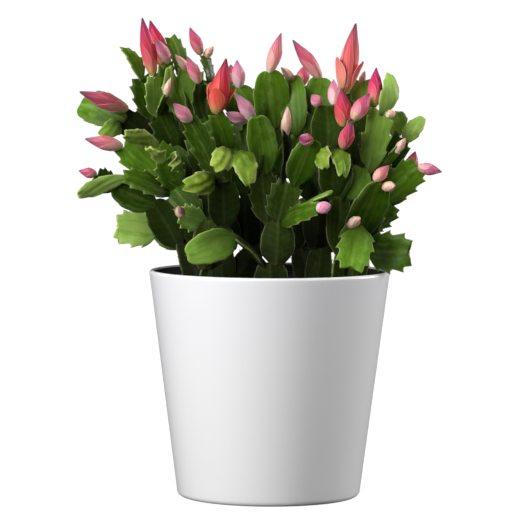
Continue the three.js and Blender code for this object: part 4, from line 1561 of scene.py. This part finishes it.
def choose_look(item, rng):
    # painted shade: segments deep inside the plant get a darker colour than those on its outside
    painted_light_and_tone = 0.1 + 0.42 * share_in_light((item["tip"] + item["base"]) / 2) + rng.uniform(-0.1, 0.1)
    is_round = item["tip"].z > HIGH and abs(item["tip"].x) < NEAR_MIDDLE and item["width"] > BROAD
    if item["kind"] == "young":
        painted_light_and_tone = 0.6 + rng.uniform(-0.2, 0.2)
    if item["look"]:
        painted_light_and_tone = int(item["look"][-1]) / 9 + rng.uniform(-0.04, 0.04)
        is_round = is_round if len(item["look"]) == 1 else item["look"][0] in "rw"
    return SHAPES.get(item["kind"]) or (rounded if is_round else clawed), max(0, painted_light_and_tone)


print("each segment gets its own tone")

# %% Grow the cuttings
for name, items in plants.items():
    parts = []
    for item in items:
        if item["kind"] in (*BUD_KINDS, "tiny"):
            continue
        rng = random.Random(f"{name} {item['row']}")
        shape, painted_light_and_tone = choose_look(item, rng)
        copy = carry_segment(shape, item, rng)
        note(copy, "age", AGES_BY_LOOK.get(item["look"][:1], AGES[item["kind"]]) + rng.uniform(-0.05, 0.05))
        note(copy, "painted_light_and_tone", painted_light_and_tone)
        copy.data.materials[0] = cork if item["kind"] == "stub" else green
        parts.append(copy)
    cutting = join(f"{name}_cutting_fine", parts)
    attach(cutting, "root")
    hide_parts(f"{name}_cutting")
    print(cutting.name, count_faces(cutting), "triangles")

# %% [markdown]
# ## The pink of the buds
# A bud is yellow-green where it sits on the segment, then coral or pink, then magenta towards its dark
# pointed tip. Some petals are crimson and the next one almost white, fine pale streaks run along each, and
# the margins are paler. One finish serves every bud: each keeps how warm and how pale it is, and each petal
# its own share of light and dark.

# %% Start the petal finish with coral and rose
petals, tree, shader = start_finish(
    "pink petals", 0.4, Subsurface_Weight=0.1, Subsurface_Scale=2 * MM, Specular_IOR_Level=0.12
)
shader.inputs["Subsurface Radius"].default_value = (1.0, 0.4, 0.35)
height, along, across = read(tree, "height"), read(tree, "along"), read(tree, "across")
shade, warmth, paleness = read(tree, "shade"), read(tree, "warmth"), read(tree, "paleness")
coral = [(0.0, "#7a882a"), (0.06, "#a99840"), (0.12, "#ea8a50"), (0.26, "#f2502e"), (0.56, "#e42a32")]
coral = ramp(tree, height, coral + [(0.82, "#bc1a4a"), (0.98, "#5a1438")])
rose = [(0.0, "#84923a"), (0.08, "#c8b854"), (0.15, "#ecb896"), (0.3, "#ea6488"), (0.6, "#e03c82")]
rose = ramp(tree, height, rose + [(0.85, "#cc3890"), (0.98, "#86286e")])
tint = blend(tree, warmth, rose, coral)
around = add_node(tree, "CombineXYZ", {"X": across, "Y": along, "Z": shade}).outputs[0]
stretch = add_node(tree, "VectorMath", {0: around, 1: (7.0, 1.2, 7.0)}, operation="MULTIPLY").outputs[0]
streaks = add_node(tree, "TexNoise", {"Vector": stretch, "Scale": 1.0, "Detail": 3.0}).outputs["Fac"]
print("coral and rose")

# %% Make some buds pale and others rich, with streaks
low_down = spread(tree, height, 1.0, 0.4, 0.2, 1.0)
pale_share = calculate(tree, "MULTIPLY", paleness, spread(tree, shade, 0.1, 0.9, 0.45, 1.2))
pale_share = calculate(tree, "MULTIPLY", pale_share, low_down)
tint = blend(tree, pale_share, tint, blend(tree, warmth, "#fae0ec", "#f3cdb4"))
pale_streaks = spread(tree, paleness, 0.0, 1.0, 0.1, 0.8)
pale_streaks = calculate(tree, "MULTIPLY", spread(tree, streaks, 0.45, 0.72), pale_streaks)
tint = blend(tree, pale_streaks, tint, blend(tree, 0.7, tint, "#fad8dc"))
rich = spread(tree, paleness, 0.2, 1.0, 1.0, 0.0)
crimson = blend(tree, 0.6, tint, "#b4143c")
for part in (spread(tree, shade, 0.5, 0.0, 0.0, 0.7), spread(tree, streaks, 0.5, 0.3, 0.0, 0.7)):
    tint = blend(tree, calculate(tree, "MULTIPLY", part, rich), tint, crimson)
from_middle = calculate(tree, "ABSOLUTE", across)
edge = spread(tree, from_middle, 0.7, 1.0, 0.0, 0.2)
edge = calculate(tree, "MULTIPLY", edge, spread(tree, height, 0.12, 0.3))
tint = blend(tree, edge, tint, "#f6c4bc")
tree.links.new(tint, shader.inputs["Base Color"])
tree.links.new(spread(tree, streaks, 0.3, 0.7, 0.3, 0.46), shader.inputs["Roughness"])
bumps(tree, shader, streaks, 0.3, 0.3)
print("pink petals")

# %% Carry a bud to its item
WARM = 0.95
PEELING_TURN = math.radians(39)  # a warm opening bud turns, so that one petal peels off to its left


def carry_bud(master, item, warmth, paleness):
    """The bud is scaled evenly across and by its own length along."""
    copy = copy_piece(master)
    wide, long = item["width"] / 2 / BUD_RADIUS, item["length"] / BUD_LENGTH
    turn = Matrix.Rotation(PEELING_TURN if warmth > WARM and item["kind"] == "open" else 0, 3, item["axis"])
    columns = (turn @ item["side"] * wide, turn @ item["normal"] * -wide, item["axis"] * long)
    place = Matrix.Translation(item["base"] * MM) @ Matrix(columns).transposed().to_4x4()
    copy.data.transform(place)
    note(copy, "warmth", warmth)
    note(copy, "paleness", paleness)
    copy.data.materials.append(petals)
    return copy


print("a bud can be carried to its item")

# %% Set the buds in place
BUD_SHAPES = {"bud": closed_bud, "open": opening_bud}
for name, items in plants.items():
    for number, item in enumerate([item for item in items if item["kind"] in BUD_KINDS], 1):
        node = f"{name}_bud_{number}"
        rng = random.Random(node)
        warmth, paleness = [int(digit) / 9 for digit in item["look"]] or (rng.random(), 0.6 * rng.random())
        bud = carry_bud(BUD_SHAPES[item["kind"]], item, warmth, paleness)
        bud.name = f"{node}_fine"
        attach(bud, "root")
        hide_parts(node)
    beads = [carry_bud(tiny_bud, item, 1.0, 1.6) for item in items if item["kind"] == "tiny"]
    if beads:
        beads = join(f"{name}_tiny_buds", beads)
        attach(beads, "root")
print("all buds in place")

# %% [markdown]
# ## Tidy up and measure
# The modelled originals have done their work, so they go. What is left has to fill the same space as the
# frame does, and the box round it is printed.

# %% Remove the originals, and print the size of what is left
for original in (clawed, rounded, old, young, stem, closed_bud, opening_bud, tiny_bud):
    bpy.data.objects.remove(original)
low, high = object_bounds()
print("pieces in mm", [round(1000 * value) for value in (*low, *high)])
